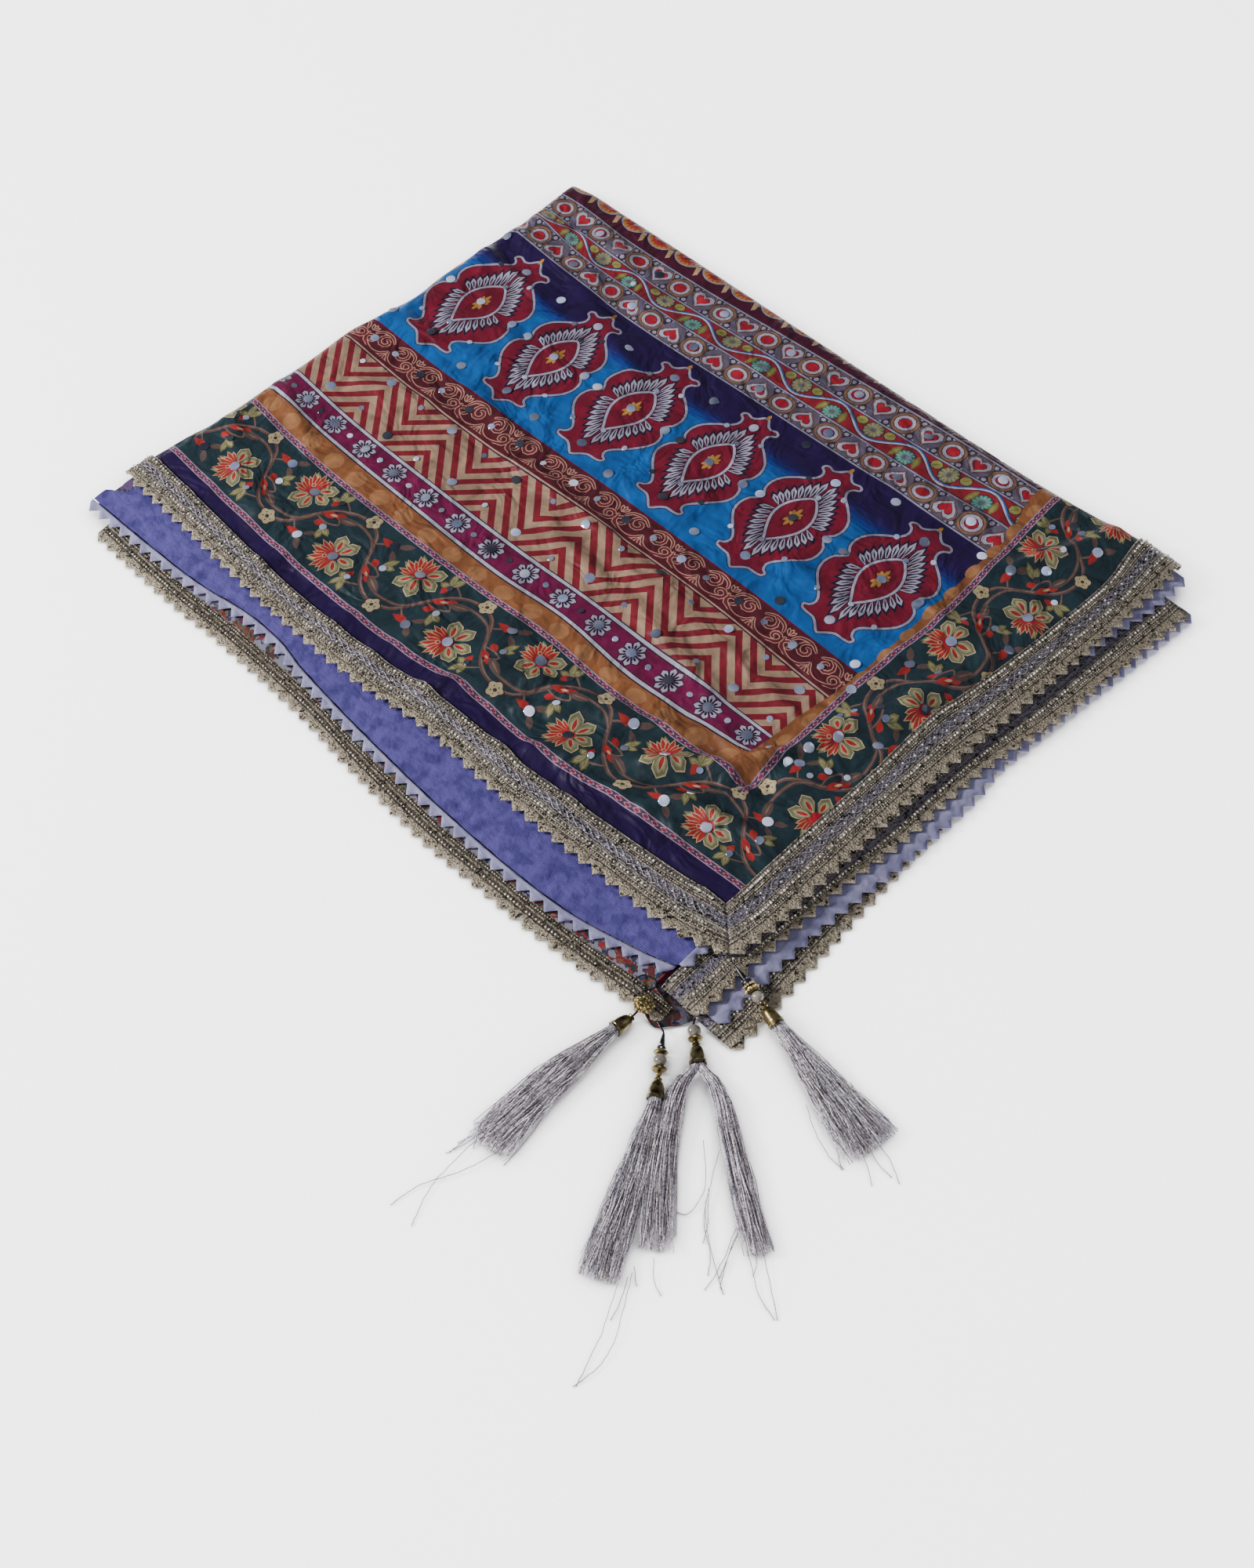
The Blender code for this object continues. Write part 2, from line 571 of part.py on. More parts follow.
def build_core():
    """Hidden layers as one rounded stack, grooved where layers meet."""
    rings = [ring_points(level) for level in CORE_RINGS]
    count = len(rings[0])
    points = [p for ring in rings for p in ring]
    faces = [tuple(reversed(range(count)))]
    for r in range(len(rings) - 1):
        for k in range(count):
            a = r * count + k
            b = r * count + (k + 1) % count
            faces.append((a, b, b + count, a + count))
    top = (len(rings) - 1) * count
    faces.append(tuple(range(top, top + count)))
    item = add_mesh("core", points, faces, PRINT)
    item.data.set_sharp_from_angle(angle=math.radians(60))


def add_turned(name, start, end, profile, sides, colour):
    """Turned piece between two points; the profile runs end to start."""
    mesh = bpy.data.meshes.new(name)
    mesh.from_pydata([(r * MM, 0, z * MM) for r, z in profile],
                     [(i, i + 1) for i in range(len(profile) - 1)], [])
    item = bpy.data.objects.new(name, mesh)
    stole.objects.link(item)
    item.data.materials.append(make_material(name, colour))
    item.location = Vector(start) * MM
    direction = Vector(end) - Vector(start)
    item.rotation_mode = "QUATERNION"
    item.rotation_quaternion = Vector((0, 0, 1)).rotation_difference(direction)
    spin = item.modifiers.new("turn", "SCREW")
    spin.steps = sides
    spin.render_steps = sides
    spin.use_merge_vertices = True
    spin.merge_threshold = 0.00002
    spin.use_smooth_shade = True
    return item


def head_lattice(rows):
    """Triangles that tile a unit square, as lists of three points."""
    triangles = []
    for sector in range(STRAND_SECTORS):
        a0 = 2 * math.pi * (sector + 0.5) / STRAND_SECTORS
        a1 = 2 * math.pi * (sector + 1.5) / STRAND_SECTORS

        def spot(i, j):
            x = (i * math.cos(a0) + j * math.cos(a1)) / rows
            y = (i * math.sin(a0) + j * math.sin(a1)) / rows
            return (round(x, 5), round(y, 5))

        for i in range(rows):
            for j in range(rows - i):
                triangles.append([spot(i, j), spot(i + 1, j), spot(i, j + 1)])
                if i + j < rows - 1:
                    triangles.append([spot(i + 1, j), spot(i + 1, j + 1), spot(i, j + 1)])
    return triangles


def build_strands(name, cap, shift, radius, rows, stations):
    """Bundle of separate strands whose roots are one with a flat head."""
    cap_start, cap_end = (Vector(p) for p in CAPS[cap])
    head_dir = (cap_end - cap_start).normalized()
    head_side = Vector((0, 0, 1)).cross(head_dir).normalized()
    head_up = head_dir.cross(head_side)
    root = cap_start + head_dir * (CAP_LENGTH + GAP + HEAD_DEPTH) + head_side * shift
    table = [(*root, radius, radius), *stations]

    def place(k, a, b):
        """Point at one station, with the sideways direction there."""
        row = table[k]
        before = Vector(table[max(k - 1, 0)][:3])
        after = Vector(table[min(k + 1, len(table) - 1)][:3])
        side = Vector((0, 0, 1)).cross(after - before).normalized()
        return Vector(row[:3]) + side * (a * row[3]) + Vector((0, 0, b * row[4])), side

    def head(a, b, back):
        return root + head_side * (a * radius) + head_up * (b * radius) - head_dir * back

    points = []
    lookup = {}
    faces = []
    size = radius * STRAND_INSET
    stray, extra = STRAYS.get(name, (-1, 0))
    for number, triangle in enumerate(head_lattice(rows)):
        corners = []
        for spot in triangle:
            if spot not in lookup:
                lookup[spot] = len(points)
                points.append(head(*spot, 0))
            corners.append(lookup[spot])
        ca = sum(p[0] for p in triangle) / 3
        cb = sum(p[1] for p in triangle) / 3
        index = len(points)
        points += [head(mix(ca, p[0], STRAND_INSET), mix(cb, p[1], STRAND_INSET), 0) for p in triangle]
        for k in range(3):
            m = (k + 1) % 3
            faces.append((corners[k], corners[m], index + m, index + k))
        for step in range(1, len(table)):
            a_mid = ca + STRAND_UNEVEN * math.sin(37 * ca + 23 * cb + 2.1 * step) * 0.5
            centre, side = place(step, a_mid, cb)
            if step == len(table) - 1:
                before, _ = place(step - 1, a_mid, cb)
                longer = extra if number == stray else 0.16 * math.sin(51 * ca + 17 * cb) - 0.04
                centre += (centre - before) * longer
            flat = min(table[step][4] / radius, 1.0)
            for p in triangle:
                points.append(centre + side * ((p[0] - ca) * size)
                              + Vector((0, 0, (p[1] - cb) * size * flat)))
            for k in range(3):
                m = (k + 1) % 3
                faces.append((index + k, index + m, index + m + 3, index + k + 3))
            index += 3
        faces.append((index, index + 1, index + 2))
    edge = math.sqrt(0.5)
    rim = sorted((spot for spot in lookup if abs(max(abs(spot[0]), abs(spot[1])) - edge) < 0.001),
                 key=lambda spot: math.atan2(spot[1], spot[0]))
    base = len(points)
    points += [head(*spot, HEAD_DEPTH) for spot in rim]
    count = len(rim)
    for k in range(count):
        m = (k + 1) % count
        faces.append((lookup[rim[k]], base + k, base + m, lookup[rim[m]]))
    faces.append(tuple(base + k for k in reversed(range(count))))
    add_mesh(name, points, faces, SILVER_THREAD)


def build_tassels():
    """Caps, bead rows, ties and strands of the four corner tassels."""
    for name, (start, end) in CAPS.items():
        add_turned(name, start, end, CAP_PROFILE, CAP_SIDES, BRASS)
    for name, (start, end, profile, colour) in BEADS.items():
        add_turned(name, start, end, profile, BEAD_SIDES, colour)
    for name, (start, end) in TIES.items():
        length = math.dist(start, end)
        profile = [(0, length), (TIE_RADIUS, length), (TIE_RADIUS, 0), (0, 0)]
        add_turned(name, start, end, profile, TIE_SIDES, GUNMETAL)
    for name, bundle in BUNDLES.items():
        build_strands(name, *bundle)


def centre_on_base():
    """Move the origin to the middle of the underside."""
    bpy.context.view_layer.update()
    graph = bpy.context.evaluated_depsgraph_get()
    low = [math.inf] * 3
    high = [-math.inf] * 3
    for item in stole.objects:
        mesh = item.evaluated_get(graph).to_mesh()
        for vertex in mesh.vertices:
            place = item.matrix_world @ vertex.co
            low = [min(a, b) for a, b in zip(low, place)]
            high = [max(a, b) for a, b in zip(high, place)]
    shift = Vector(((low[0] + high[0]) / 2, (low[1] + high[1]) / 2, low[2]))
    for item in stole.objects:
        item.location -= shift


for old in list(bpy.data.objects):
    bpy.data.objects.remove(old)
stole = bpy.data.collections.new("dupatta_stole")
bpy.context.scene.collection.children.link(stole)

build_top_panel()
build_top_lace()
build_reverse_panel()
build_lower_layer()
build_side_hems()
build_core()
build_tassels()
centre_on_base()
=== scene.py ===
"""Looks of the folded printed stole: print, lace, mirrors and tassels."""
import math
import random

import bpy
import numpy as np
from mathutils import Matrix, Vector
from mathutils.geometry import delaunay_2d_cdt


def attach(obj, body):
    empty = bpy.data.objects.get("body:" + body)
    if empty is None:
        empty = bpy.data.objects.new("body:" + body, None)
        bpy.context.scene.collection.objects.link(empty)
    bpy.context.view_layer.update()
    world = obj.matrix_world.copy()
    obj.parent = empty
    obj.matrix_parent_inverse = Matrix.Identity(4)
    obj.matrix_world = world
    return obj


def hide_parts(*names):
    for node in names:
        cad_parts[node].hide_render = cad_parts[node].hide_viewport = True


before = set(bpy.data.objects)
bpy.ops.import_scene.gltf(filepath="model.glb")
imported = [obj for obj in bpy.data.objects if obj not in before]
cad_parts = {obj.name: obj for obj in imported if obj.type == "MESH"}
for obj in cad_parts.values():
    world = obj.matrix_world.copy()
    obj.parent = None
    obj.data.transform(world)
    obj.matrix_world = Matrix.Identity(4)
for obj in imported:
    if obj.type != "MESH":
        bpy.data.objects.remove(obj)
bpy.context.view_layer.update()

# Lengths below are millimetres from the near corner of the top layer; the
# shift takes them to the row frame
SHIFT = np.array((197.816, -106.962, 0.0))
MM = 0.001

# Sizes of the folded bundle
TOP_Z = 12.5
GAP = 0.35
SEAM = 0.85
LACE_LIFT = 1.7
NOSE_X = 9.0
NOSE_Y = 11.0
NOSE_X_FOOT = 8.8
NOSE_Y_FOOT = 4.9
NOSE_TURN = math.radians(100)
NOSE_ARC = 1.45
LEFT_REACH = -521
BACK_REACH = 400
PANEL_RIGHT = -11.0
TOOTH = 4.8
STRIP_START = -1.5
HEM_DROP_END = 2.4
HEM_DROP_SIDE = 2.2
MITRE_END = 21.5
MITRE_SIDE = 20.5
LEFT_FOLD = [(-30, -521.5), (0, -521), (20, -520), (40, -519), (60, -516.5), (100, -518), (140, -518.5),
             (180, -521.5), (205, -518.5), (235, -516), (262, -519), (300, -520), (340, -520), (380, -524),
             (410, -526)]
BACK_FOLD = [(-530, 399), (-495, 402.5), (-300, 402), (-110, 402), (-60, 405), (-25, 409), (20, 409)]
END_SEWN = [(-530, 12), (-450, 6), (-370, 0.8), (-290, 2.8), (-242, 8), (-170, 9), (-90, 15), (-24, 21)]
END_FOOT = [(-530, -9.5), (-450, -12.5), (-370, -17.3), (-290, -17.3), (-234, -11.5), (-170, -13.5),
            (-90, -11.5), (-40, -9.5), (-22, -6), (-3, 1)]
SIDE_SEWN = [(17, -24.5), (75, -25.5), (150, -26), (205, -28), (225, -25), (275, -20.5), (310, -18.5),
             (360, -17.5), (392, -23), (420, -26)]
SIDE_FOOT = [(-4, -3.5), (10, 0), (30, 1.8), (75, 1), (120, 0), (160, 0), (205, 1.8), (250, 3.8),
             (290, 5.2), (330, 6.6), (370, 6), (420, 6)]
CREASES = [(-186, 8, -82, 92, 1.6, 9), (-82, 92, -40, 196, 1.6, 8), (-168, 6, -60, 98, -0.8, 6),
           (-252, 6, -226, 66, 1.2, 9), (-350, 172, -210, 165, 0.9, 6), (-210, 165, -86, 146, 0.9, 6),
           (-120, 40, -50, 66, 0.9, 8), (-42, 196, -30, 262, 1.3, 9), (-72, 226, -28, 292, 1.0, 8),
           (-76, 318, -34, 382, 1.0, 9), (-516, 330, -430, 318, 1.2, 10), (-504, 388, -420, 352, 0.8, 11),
           (-440, 334, -300, 346, 0.8, 12), (-515, 70, -440, 26, 0.9, 10), (-400, -6, -392, 30, 0.9, 9),
           (-330, -8, -322, 26, 0.7, 8), (-296, -8, -284, 34, 0.9, 9), (-140, 0, -118, 30, 0.9, 8),
           (-480, -4, -470, 24, 0.6, 8), (-300, 240, -180, 232, 0.6, 12), (-500, 210, -420, 226, 0.7, 12),
           (-160, 330, -96, 352, 0.7, 10)]
CREASE_GAIN = 2.4
CREASE_SHARP = 1.3
# Finer folds that only the cloth has
FINE_CREASES = [(-214, 30, -120, 96, 0.9, 4.5), (-120, 58, -70, 118, 1.0, 4.5),
                (-100, 36, -44, 120, 0.9, 4.2), (-340, 178, -262, 172, 0.7, 4.0),
                (-250, 160, -170, 152, 0.7, 4.0), (-60, 160, -38, 236, 0.9, 4.4),
                (-66, 248, -40, 312, 0.8, 4.2), (-64, 330, -40, 396, 0.8, 4.4),
                (-510, 300, -452, 292, 0.8, 5), (-508, 352, -440, 366, 0.7, 5),
                (-506, 110, -458, 88, 0.8, 5), (-250, 10, -205, 60, 0.9, 4.4),
                (-176, 20, -150, 56, 0.8, 4.0), (-470, 150, -430, 168, 0.6, 5),
                (-390, 300, -350, 282, 0.6, 5), (-150, 24, -78, 40, 0.8, 5), (-96, 52, -34, 66, 0.9, 5),
                (-132, 98, -60, 92, -0.8, 5), (-60, 110, -30, 160, 0.8, 5), (-240, 44, -160, 74, 0.7, 6),
                (-300, 148, -230, 138, 0.7, 5), (-210, 140, -130, 122, 0.7, 5),
                (-420, 196, -350, 188, 0.6, 5), (-90, 268, -52, 262, 0.8, 5),
                (-180, 300, -120, 312, 0.5, 6), (-350, 24, -320, 56, 0.7, 5), (-430, 30, -400, 60, 0.6, 5),
                (-480, 236, -440, 250, 0.5, 6), (-160, 232, -110, 226, 0.6, 6),
                (-300, 208, -240, 214, 0.5, 6)]
FINE_GAIN = 3.4
FINE_SHARP = 0.82
# Columns and rows of the top layer's grid, and rows over each rolled fold
PANEL_COLUMNS = 108
PANEL_ROWS = 84
NOSE_STEPS = 7
PANEL_TUCK = 6.0
REVERSE_FOOT = [(-530, -37), (-456, -36), (-415, -34), (-376, -28.5), (-345, -28.5), (-319, -33),
                (-254, -39), (-174, -43), (-93, -41), (-37, -29.5), (-17, -23)]
REVERSE_INNER = 22.0
REVERSE_RIGHT = -18.5
REVERSE_Z = [(0, 10.5), (0.36, 10.15), (0.68, 9.1), (1, 7)]
REVERSE_LEFT = -520.4
REVERSE_LIFT = 0.11
EDGING_Z = (6.95, 6.45)
EDGING_BAND = 2.2
EDGING_TOOTH = 5.4
EDGING_DROOP = 0.8
CORNER_RAISE = 0.8
BACK_EDGING_Z = 10.45
BACK_EDGING_OUT = (7.0, 13.5)
LOWER_TIPS = [(-530, -52), (-500, -55), (-420, -57), (-380, -55.5), (-298, -57), (-257, -61), (-217, -64),
              (-176, -66), (-136, -65), (-95, -64), (-55, -61), (-18, -57), (0, -55)]
LOWER_LACE_WIDTH = 12.4
LOWER_TOOTH = 4.2
LOWER_INNER = 3.0
LOWER_Z = [(0, 8.1), (0.5, 6.9), (1, 4.1)]
LOWER_LEFT = -517.0
LOWER_RIGHT = (-20.5, -5.0)
LOWER_NEAR_DROP = 0.9
LOWER_LACE_Z = (3.8, 1.9)
MIDDLE_FOOT = [(-40, 8), (-20, 8.2), (3, 7), (28, 8), (79, 9.3), (104, 11.6), (129, 13.7), (180, 13.7),
               (205, 15.2), (230, 18.7), (255, 22.7), (300, 25.3), (356, 28.8), (384, 30.5)]
MIDDLE_INNER = [(-40, -17), (-3, -17), (0.5, -16.6), (6.5, -2.6), (9, STRIP_START), (12, STRIP_START),
                (384, STRIP_START)]
BASE_TEETH_FOOT = [(-40, 34.4), (-20, 33.7), (5, 31.5), (30, 29.6), (55, 27.4), (80, 25.6), (105, 24),
                   (130, 22.4), (205, 17.4), (257, 20.4), (384, 28)]
PALE_FOOT = [(-40, 19.6), (30, 17.4), (55, 18.2), (80, 19.8), (105, 22.2), (131, 23.2), (181, 23.2),
             (206, 20.2), (232, 21.8), (257, 23.2), (302, 27.2), (384, 32.4)]
FOLD_Y = -37.5
FOLD_REACH = 8.0
MIDDLE_Z = (8.4, 6.7)
MIDDLE_NEAR_Z = (8.0, 6.4)
MIDDLE_FOLD_Z = 4.6
MIDDLE_BACK_RISE = 0.7
PALE_Z = (5.9, 4.4)
PALE_NEAR_Z = (4.1, 3.75)
BASE_Z = (2.7, 1.65)
HEM_DROOP = 0.35
CORE_RINGS = [(0.0, 3.4, 2.0, 3.0, -34.0), (0.6, 1.6, 0.4, 1.4, -36.6), (1.7, 1.4, 0.0, 1.0, -37.2),
              (2.1, 2.8, 1.2, 2.2, -35.5), (2.6, 1.4, 0.0, 0.8, -36.2), (3.7, 1.2, 0.2, 1.3, -29.5),
              (4.2, 2.8, 1.2, 3.6, -26.0), (4.8, 1.2, 0.0, 2.6, -21.0), (5.8, 1.4, 0.2, 2.1, -5.0),
              (6.4, 3.0, 1.4, 2.2, 7.6), (7.4, 1.5, 0.2, 2.4, 8.2), (8.3, 3.2, 0.4, 3.0, 9.2),
              (8.8, 4.0, 1.0, 3.8, 10.5), (9.3, 4.4, 4.5, 4.6, 31.0), (10.7, 8.5, 21.0, 8.5, 36.0),
              (11.0, 13.0, 29.0, 14.0, 41.0)]
CORE_RIGHT = -3.0
CORE_CORNER = 9.0

# Tassels: the caps' ends, the ties' ends, and the bundles of threads
CAPS = {"tassel_one": ((-15.2, -61.6, 5.0), (-16.6, -74.0, 5.0)),
        "tassel_two": ((19.95, -78.3, 5.0), (27.3, -88.3, 5.0)),
        "tassel_three": ((19.9, -49.5, 5.0), (29.1, -57.6, 5.0)),
        "tassel_four": ((31.0, -8.4, 7.1), (43.1, -10.9, 5.5))}
CAP_LENGTH = 12.4
BUNDLES = {
    "tassel_one_strands": ("tassel_one", 0.0, 3.4, 250, [
        (-18.9, -106, 4.7, 7.8, 3.3), (-18.6, -137, 4.0, 9.8, 2.8), (-17.0, -168, 3.4, 11.2, 2.3)]),
    "tassel_two_strands": ("tassel_two", 0.0, 3.4, 250, [
        (41.5, -114, 4.6, 6.4, 3.2), (56.0, -142, 4.0, 8.2, 2.8), (74.0, -178, 3.4, 9.8, 2.3)]),
    "tassel_three_left_strands": ("tassel_three", -2.0, 2.0, 150, [
        (32.0, -76, 4.8, 4.2, 3.2), (50.0, -105, 4.2, 6.8, 2.8), (84.0, -147, 3.4, 9.2, 2.3)]),
    "tassel_three_right_strands": ("tassel_three", 2.0, 2.0, 140, [
        (49.0, -62, 4.8, 4.0, 3.2), (80.0, -83, 4.2, 5.8, 2.8), (122.0, -112, 3.4, 7.4, 2.3)]),
    "tassel_four_strands": ("tassel_four", 0.0, 3.4, 250, [
        (72.0, -17.0, 4.9, 7.2, 3.2), (99.0, -22.5, 4.1, 11.0, 2.7), (126.0, -27.5, 3.4, 14.6, 2.3)])}
GOLDEN_ANGLE = 2.39996
# Stray threads on the floor, each from a place in its bundle
STRAYS = [
    [(-12, -150), (-11, -168), (-16, -186), (-24, -202), (-27, -214), (-28, -223)],
    [(-24, -146), (-23, -170), (-22, -192), (-20, -204), (-15, -216), (-12, -223)],
    [(-28, -140), (-29, -156), (-31, -163)], [(-26, -146), (-27, -166), (-28, -182)],
    [(-25, -148), (-25, -163), (-29, -176)], [(-23, -150), (-25, -170), (-29, -184)],
    [(-9, -130), (-5, -148), (-3, -168)], [(-22, -152), (-23, -166), (-21, -172)],
    [(84, -163), (93, -178), (101, -192), (105, -206), (104, -218), (103, -223)],
    [(80, -166), (88, -182), (95, -196), (100, -210), (104, -222)],
    [(84, -166), (89, -176), (93, -187)], [(86, -150), (94, -158), (102, -161)], [(82, -160), (90, -166)],
    [(70, -85), (79, -101), (90, -118), (104, -128), (111, -137)],
    [(84, -110), (94, -120), (110, -131), (123, -139)], [(80, -104), (92, -117), (98, -127)],
    [(100, -100), (108, -118), (113, -132), (115, -144)],
    [(104, -102), (110, -120), (118, -135), (121, -138)],
    [(106, -108), (112, -124), (116, -134)], [(110, -100), (126, -112), (140, -122), (151, -130)],
    [(108, -108), (122, -118), (136, -127), (150, -131)], [(112, -106), (124, -116), (127, -122)],
    [(70, -76), (84, -80), (90, -83)], [(60, -86), (78, -104), (82, -120), (76, -124)],
    [(92, -8), (106, -11), (120, -9)], [(80, -9), (98, -12), (113, -15)],
    [(100, -34), (113, -42), (121, -48)], [(84, -34), (98, -42), (112, -47), (122, -47)],
    [(120, -24), (134, -26), (147, -33)], [(118, -26), (130, -32), (142, -33)],
    [(118, -32), (130, -38), (138, -44)], [(46, -10), (49, -7), (51, -6)], [(46, -11), (48, -8), (49, -5)]]


def curve(table, at):
    """Values on the smooth curve through a short table."""
    keys, values = np.array(table, float).T
    at = np.clip(np.asarray(at, float), keys[0], keys[-1])
    index = np.clip(np.searchsorted(keys, at) - 1, 0, len(keys) - 2)
    order = np.arange(len(keys))
    low = np.maximum(order - 1, 0)
    high = np.minimum(order + 1, len(keys) - 1)
    slope = (values[high] - values[low]) / (keys[high] - keys[low])
    span = keys[index + 1] - keys[index]
    t = (at - keys[index]) / span
    return (values[index] * (2 * t ** 3 - 3 * t ** 2 + 1)
            + slope[index] * span * (t ** 3 - 2 * t ** 2 + t)
            + values[index + 1] * (3 * t ** 2 - 2 * t ** 3)
            + slope[index + 1] * span * (t ** 3 - t ** 2))


def mix(a, b, t):
    return a + (b - a) * t


def ease(t):
    t = np.clip(t, 0.0, 1.0)
    return t * t * (3 - 2 * t)


def folds(x, y, table, sharp=1.0):
    """Height that a table of creases adds; sharp narrows them."""
    height = np.zeros(np.broadcast(x, y).shape)
    for x0, y0, x1, y1, rise, half in table:
        length = math.hypot(x1 - x0, y1 - y0)
        along = ((x - x0) * (x1 - x0) + (y - y0) * (y1 - y0)) / length
        across = ((x - x0) * (y1 - y0) - (y - y0) * (x1 - x0)) / length
        beyond = np.maximum(np.maximum(-along, along - length), 0)
        height = height + rise * np.exp(-(sharp * across / half) ** 2 - (beyond / (1.6 * half)) ** 2)
    return height


def relief(x, y):
    """Soft waves and creases of the top layer."""
    waves = 0.8 + 0.26 * np.sin(x / 61 + 0.6) * np.sin(y / 47 + 1.1) + 0.18 * np.sin((x + 1.7 * y) / 38)
    height = waves + CREASE_GAIN * folds(x, y, CREASES, CREASE_SHARP)
    return np.maximum(height, 0.1) + FINE_GAIN * folds(x, y, FINE_CREASES, FINE_SHARP)


def top_surface(x, y):
    """Outer face of the top layer, rolled down at its two folds."""
    x, y = np.broadcast_arrays(np.asarray(x, float), np.asarray(y, float))
    start_x = curve(LEFT_FOLD, np.minimum(y, BACK_REACH)) + NOSE_X
    start_y = curve(BACK_FOLD, np.maximum(x, LEFT_REACH)) - NOSE_Y
    flat_x = np.maximum(x, start_x)
    flat_y = np.minimum(y, start_y)
    height = TOP_Z + relief(flat_x, flat_y)
    height = height - HEM_DROP_END * ease((24 - flat_y) / 48) - HEM_DROP_SIDE * ease((flat_x + 28) / 44)
    turn = NOSE_TURN * np.clip((start_x - x) / (NOSE_ARC * NOSE_X), 0, 1)
    fall_x = (height - NOSE_X_FOOT) * (1 - np.cos(turn)) / (1 - math.cos(NOSE_TURN))
    flat_x = np.where(x < start_x, start_x - NOSE_X * np.sin(turn), flat_x)
    turn = NOSE_TURN * np.clip((y - start_y) / (NOSE_ARC * NOSE_Y), 0, 1)
    fall_y = (height - NOSE_Y_FOOT) * (1 - np.cos(turn)) / (1 - math.cos(NOSE_TURN))
    flat_y = np.where(y > start_y, start_y + NOSE_Y * np.sin(turn), flat_y)
    return np.stack([flat_x, flat_y, height - np.hypot(fall_x, fall_y)], axis=-1)


def unit(vectors):
    return vectors / np.maximum(np.linalg.norm(vectors, axis=-1, keepdims=True), 1e-9)


def normals_of(surface, a, b, step=0.8):
    """Normals of a surface of two numbers, pointing up."""
    along = surface(a + step, b) - surface(a - step, b)
    across = surface(a, b + step) - surface(a, b - step)
    normal = unit(np.cross(along, across))
    return np.where(normal[..., 2:] < 0, -normal, normal)


def srgb(text):
    """Linear colour from six hex digits."""
    values = [int(text[i:i + 2], 16) / 255 for i in (0, 2, 4)]
    return tuple(((v + 0.055) / 1.055) ** 2.4 if v > 0.04045 else v / 12.92 for v in values)


def add_mesh(name, points, faces, material, tints=None, normals=None, tint_on="POINT"):
    """Piece from points in millimetres, riding on the one body."""
    mesh = bpy.data.meshes.new(name)
    rows = (np.asarray(points, float) + SHIFT) * MM
    mesh.from_pydata(rows.tolist(), [], [tuple(int(i) for i in f) for f in faces])
    mesh.update()
    mesh.shade_smooth()
    if tints is not None:
        layer = mesh.color_attributes.new("tint", "FLOAT_COLOR", tint_on)
        values = np.asarray(tints, float)
        if tint_on == "CORNER":
            values = np.repeat(values, [len(f) for f in faces], axis=0)
        values = np.concatenate([values, np.ones((len(values), 1))], axis=1)
        layer.data.foreach_set("color", values.astype(np.float32).ravel())
    if normals is not None:
        mesh.normals_split_custom_set_from_vertices(np.asarray(normals, float).tolist())
    item = bpy.data.objects.new(name, mesh)
    bpy.context.scene.collection.objects.link(item)
    item.data.materials.append(material)
    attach(item, "root")
    return item


def grid_faces(columns, rows):
    """Faces between points laid out column by column."""
    corners = [i * rows + j for i in range(columns - 1) for j in range(rows - 1)]
    return [(a, a + 1, a + rows + 1, a + rows) for a in corners]


def ring_faces(rings, sides):
    """Faces between closed rings of points."""
    return [(a + k, a + (k + 1) % sides, a + sides + (k + 1) % sides, a + sides + k)
            for a in range(0, (rings - 1) * sides, sides) for k in range(sides)]


def join(piece, points, faces, colour):
    """Adds one shape to the points, faces and colours of a piece."""
    first = len(piece[0])
    piece[0].extend(points)
    piece[1].extend(tuple(first + i for i in f) for f in faces)
    piece[2].extend([colour] * len(points))


def around(centre, side, up, radius, count, turn=0.0):
    """Ring of points around a centre."""
    angles = 2 * math.pi * np.arange(count) / count + turn
    return [centre + radius * (math.cos(a) * side + math.sin(a) * up) for a in angles]


# Materials

def start_material(name, roughness, metallic=0.0):
    material = bpy.data.materials.new(name)
    material.use_nodes = True
    shader = material.node_tree.nodes["Principled BSDF"]
    shader.inputs["Roughness"].default_value = roughness
    shader.inputs["Metallic"].default_value = metallic
    return material, material.node_tree, shader


def link(tree, a, out, b, socket):
    tree.links.new(a.outputs[out], b.inputs[socket])


def texture(tree, kind, scale, detail=2.0, place=None, **settings):
    node = tree.nodes.new(kind)
    node.inputs["Scale"].default_value = scale
    if "Detail" in node.inputs:
        node.inputs["Detail"].default_value = detail
    for key, value in settings.items():
        setattr(node, key, value)
    if place:
        link(tree, place, "Object" if place.type == "TEX_COORD" else "Vector", node, "Vector")
    return node


def noise(tree, place, scale, detail=2.0):
    return texture(tree, "ShaderNodeTexNoise", scale, detail, place)


def ridges(tree, place, scale, direction):
    return texture(tree, "ShaderNodeTexWave", scale, 0.0, place, wave_type="BANDS",
                   bands_direction=direction)


def spread(tree, source, out, low, high, start=0.0):
    """Takes a number from start to 1 to the range from low to high."""
    node = tree.nodes.new("ShaderNodeMapRange")
    node.inputs["From Min"].default_value = start
    node.inputs["To Min"].default_value = low
    node.inputs["To Max"].default_value = high
    link(tree, source, out, node, "Value")
    return node


def ramp(tree, source, out, stops):
    node = tree.nodes.new("ShaderNodeValToRGB")
    elements = node.color_ramp.elements
    while len(elements) < len(stops):
        elements.new(0.5)
    for element, (position, colour) in zip(elements, stops):
        element.position = position
        element.color = (*colour, 1)
    link(tree, source, out, node, "Fac")
    return node


def blend(tree, kind, factor, a, b):
    """Colour mix; factor, a and b are numbers, colours or (node, output)."""
    node = tree.nodes.new("ShaderNodeMix")
    node.data_type = "RGBA"
    node.blend_type = kind
    for socket, value in ((0, factor), (6, a), (7, b)):
        if isinstance(value, tuple) and hasattr(value[0], "outputs"):
            link(tree, *value, node, socket)
        elif isinstance(value, tuple):
            node.inputs[socket].default_value = (*value, 1)
        else:
            node.inputs[socket].default_value = value
    return node


